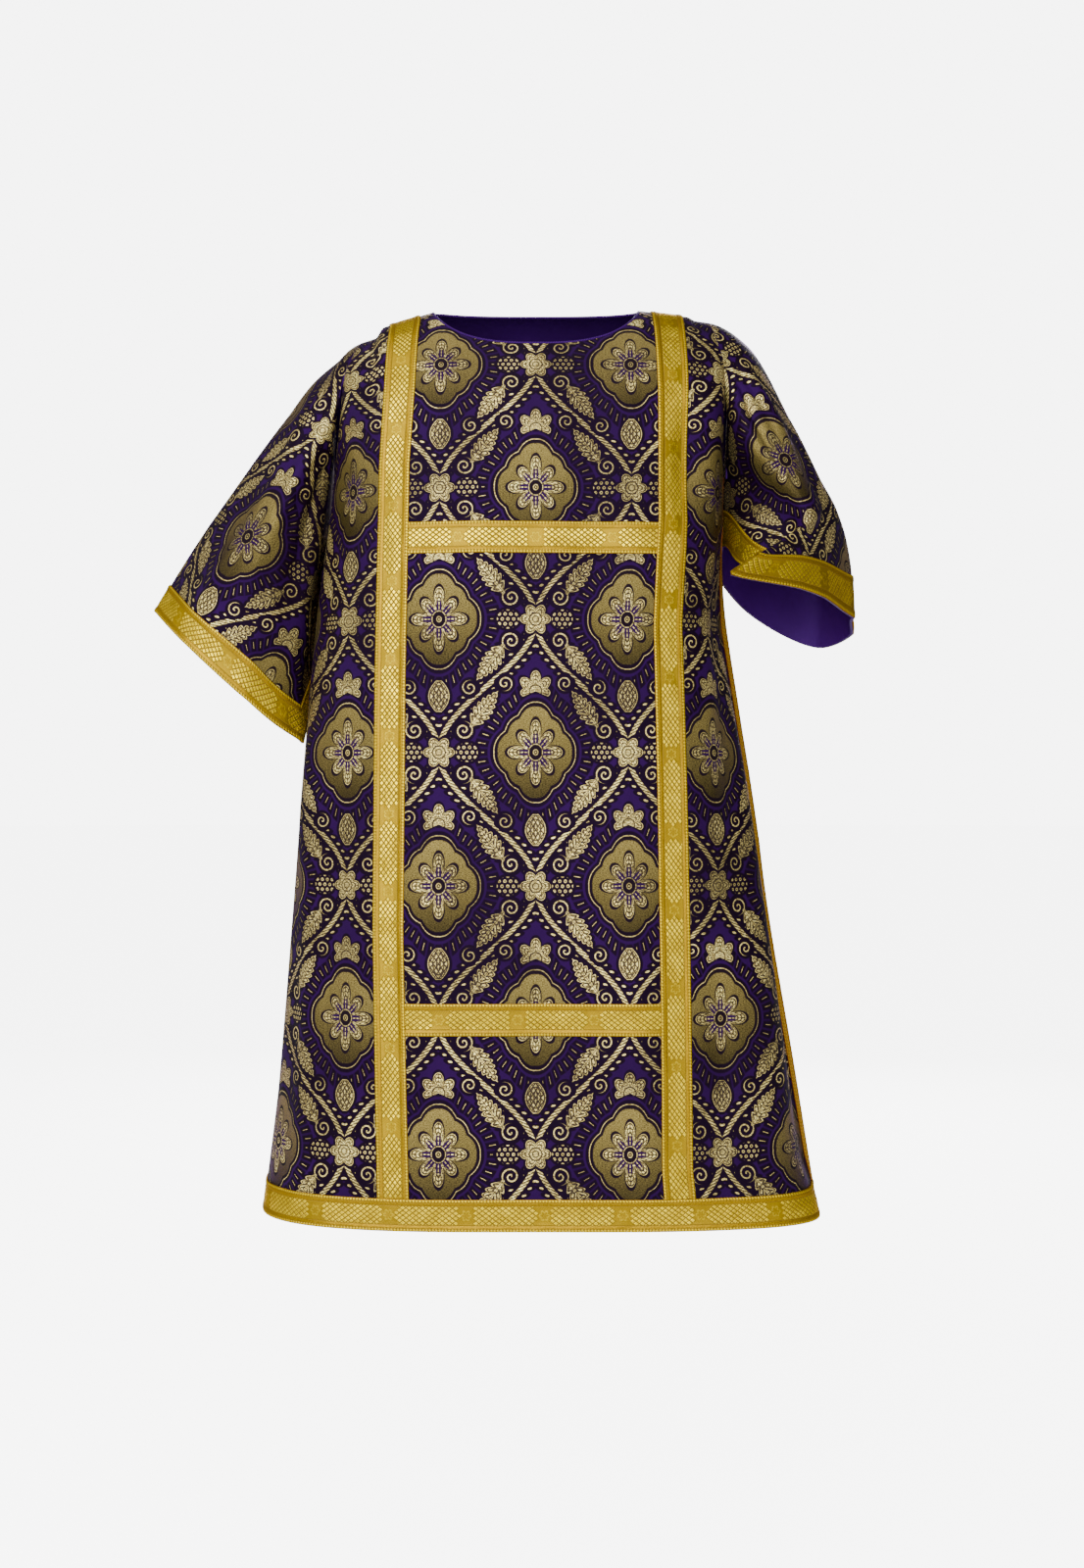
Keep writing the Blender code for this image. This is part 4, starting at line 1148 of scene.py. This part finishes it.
# Piping: a cord beside the neckline.
PIPING_ROWS = 240
PIPING_SIDES = 12
reach = len(NECK_COLUMNS) - 1
loops = []
for key in ("inner", "normal"):
    a = panels["front"][key][0, MIDDLE - reach : MIDDLE + reach + 1]
    b = panels["back"][key][0, MIDDLE - reach : MIDDLE + reach + 1]
    loops.append(np.vstack([(a[0] + b[-1]) / 2, a[1:-1], (a[-1] + b[0]) / 2, b[1:-1]]))
loop, away = loops
fine = run_along(np.vstack([loop, loop[:1]]))
steps = np.linspace(0, fine[-1], PIPING_ROWS + 1)[:-1]
loop, away = (
    np.stack([np.interp(steps, fine, np.append(v[:, i], v[0, i])) for i in range(3)], 1) for v in (loop, away)
)
for _ in range(2):
    loop = (np.roll(loop, 1, 0) + 2 * loop + np.roll(loop, -1, 0)) / 4
heading = unit(np.roll(loop, -1, 0) - np.roll(loop, 1, 0))
into = unit(np.cross(away, heading))
away = np.cross(heading, into)
centre = loop + into * (PIPING_RADIUS + SEAM_GAP) + away * CLOTH / 2
around = np.linspace(0, math.tau, PIPING_SIDES + 1)[:-1]
tube = centre[:, None] + PIPING_RADIUS * (
    into[:, None] * np.cos(around)[None, :, None] + away[:, None] * np.sin(around)[None, :, None]
)
corners = cell_corners(PIPING_ROWS, PIPING_SIDES)[:, [0, 3, 2, 1]]
quads = corners % (PIPING_ROWS, PIPING_SIDES) @ (PIPING_SIDES, 1)
mesh = bpy.data.meshes.new("neck_piping_cord")
mesh.from_pydata(tube.reshape(-1, 3).tolist(), [], quads.tolist())
uv = np.stack([
    corners[..., 1] / PIPING_SIDES * math.tau * PIPING_RADIUS, corners[..., 0] * fine[-1] / PIPING_ROWS,
], -1)
mesh.uv_layers.new(name="Cut").uv.foreach_set("vector", uv.ravel())
mesh.materials.append(CORD)
mesh.shade_smooth()
pieces["neck_piping"] = placed("neck_piping_cord", mesh)
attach(pieces["neck_piping"], "root")

# Sleeves, cuff bands and the facing at the right cuff.
RING_CELLS = 100
RING_STEP = 0.0155  # share of a sleeve's length
CREASES_RISE = 0.12  # share of the length over which creases start at the seam
CUFF_FADE = 0.30  # and over which they fade to the stiff cuff, down to CUFF_SHARE
CUFF_SHARE = 0.12
LINING_CLOTH = 0.0008
for side, creases in (("left", LEFT_CREASES), ("right", RIGHT_CREASES)):
    turn = 0.5 + np.arange(RING_CELLS) / RING_CELLS  # from under the arm, so the seam is there
    order = turn if side == "left" else turn[::-1]
    around = np.mod(order, 1.0)
    along = spread((0, 0.06, LINING_START, CUFF_START, 1), RING_STEP)
    grid = np.array([sleeve_points(side, around, a) for a in along])
    rises = np.clip(along / CREASES_RISE, 0, 1)[:, None]
    ends = np.clip((1 - along) / CUFF_FADE, CUFF_SHARE, 1)[:, None]
    t, a = np.meshgrid(around * RING, along * ARM)
    height = sum(relief(creases, t + shift, a) for shift in (-RING, 0, RING)) * rises * ends
    grid = grid + facing(grid, True) * height[..., None]
    for row, share in enumerate(along):
        if share > CREASES_RISE:
            grid[row] = beside_panels(side, grid[row], np.ones(RING_CELLS))
    normal = facing(grid, True)
    outer = grid + normal * CLOTH
    round_it = run_along(closed(outer), 1)
    top = nearest(order, 1.0)
    from_top = (round_it - round_it[:, top : top + 1]) * -SIGN[side]
    rising = run_along(closed(outer))
    lengths = rising[-1]
    uv = flattened(outer, np.stack([from_top, rising - lengths[None]], -1))
    pieces[f"sleeve_{side}"] = shell(f"sleeve_{side}_brocade", grid, outer, uv, (BROCADE, LINING), ring=True)
    cut_area(uv)

    first, last = nearest(along, CUFF_START), len(along) - 1
    rows = first + half_columns * (last - first)
    columns = np.arange(RING_CELLS + 1)
    below, out = laid_on(closed(outer), closed(normal), rows, columns, 2 * SEAM_GAP)
    band_uv = band_cut(run_along(below[len(rows) // 2]))
    lifted = below + out * (TRIM + GALLOON_LIFT)[:, None, None]
    pieces[f"cuff_band_{side}"] = shell(
        f"cuff_band_{side}_galloon", below[:, :-1], lifted[:, :-1], band_uv, (GALLOON_GOLD,), ring=True
    )
    if side == "right":
        first = nearest(along, LINING_START)
        mine = np.where((around >= LINING_TURN) | (around == 0))[0]
        face = grid[first:, mine] - normal[first:, mine] * SEAM_GAP
        back_face = face - normal[first:, mine] * LINING_CLOTH
        uv_lining = uv[first:, mine]
        node = "sleeve_lining_right"
        pieces[node] = shell(f"{node}_satin", back_face, face, uv_lining, (LINING,))
        lining_cut = cut_area(uv_lining)

# ---- the CAD's parts that the looks replace are hidden

STRIPS = ("clavus", "front_bar", "hem_band", "cuff_band", "side_braid")
for node, piece in pieces.items():
    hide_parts(node)
    if node.startswith(STRIPS):
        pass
    elif node in ("neck_piping", "sleeve_lining_right"):
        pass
    else:
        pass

SEWN_ON = {
    "front": (
        "clavus_left", "clavus_right", "front_bar_upper", "front_bar_lower", "hem_band_front",
        "neck_piping", "side_braid_front_left", "side_braid_front_right",
    ),
    "back": ("hem_band_back", "side_braid_back_left", "side_braid_back_right"),
}
for name, trims in SEWN_ON.items():
    cut = panels[name]["cut"]
    cut_area(cut)
for side in ("left", "right"):
    trims = [pieces[f"cuff_band_{side}"]]
    if side == "right":
        trims.append(pieces["sleeve_lining_right"])

# ---- floor, light and camera

FLOOR_Z = -1.47
FLOOR_RADIUS = 40
around = np.linspace(0, math.tau, 97)[:-1]
rim = [(FLOOR_RADIUS * math.cos(a), FLOOR_RADIUS * math.sin(a), FLOOR_Z) for a in around]
faces = [(0, i + 1, (i + 1) % len(rim) + 1) for i in range(len(rim))]
ground = bpy.data.meshes.new("floor")
ground.from_pydata([(0, 0, FLOOR_Z), *rim], [], faces)
ground.materials.append(paper_finish())
floor = placed("floor", ground)

# Lights: place, what it faces, size and watts.
LIGHTS = {
    "key": ((-0.9, -3.2, 0.5), (0, 0, -0.5), (2.5, 2.5), 200),
    "fill": ((1.9, -2.8, 0.1), (0, 0, -0.5), (1.8, 2.4), 32),
    "top": ((-0.5, -0.9, 2.0), (0, 0, -0.4), (2.0, 1.6), 40),
    "back": ((0.3, 3.4, 0.6), (0, 0, -0.5), (2.4, 2.4), 137),
    "left": ((-3.2, -0.3, 0.6), (0, 0, -0.4), (2.0, 2.0), 32),
}
for name, (place, target, size, watts) in LIGHTS.items():
    lamp = bpy.data.lights.new(name, "AREA")
    lamp.shape = "RECTANGLE"
    lamp.size, lamp.size_y = size
    lamp.energy = watts
    lit = placed(name, lamp)
    lit.location = place
    x, y, z = np.array(target) - np.array(place)
    lit.rotation_euler = (math.atan2(math.hypot(x, y), -z), 0, math.atan2(y, x) - math.pi / 2)

# The surroundings light the cloth softly, and look plain and pale.
SKY_LIGHT = 0.375
SKY_SEEN = 6.125  # more, as the camera sees it
SKY_GLOSS = 0.15  # less, in reflections
world = bpy.data.worlds.new("studio")
world.use_nodes = True
background = world.node_tree.nodes["Background"]
feed(background.inputs[0], tone(1, 1, 1))
seen = new_node(world.node_tree, "ShaderNodeLightPath")
by_camera, by_gloss = (Num(world.node_tree, seen.outputs[f"Is {ray} Ray"]) for ray in ("Camera", "Glossy"))
feed(background.inputs[1], by_camera * SKY_SEEN + SKY_LIGHT - by_gloss * SKY_GLOSS)
bpy.context.scene.world = world

camera_data = bpy.data.cameras.new("camera")
camera_data.sensor_fit = "VERTICAL"
camera_data.sensor_height = 24.0
camera_data.lens = 28.785
camera = placed("camera", camera_data)
camera.location = (0.007, -2.25, -0.565)
camera.rotation_euler = (math.pi / 2, 0, 0)
bpy.context.scene.camera = camera
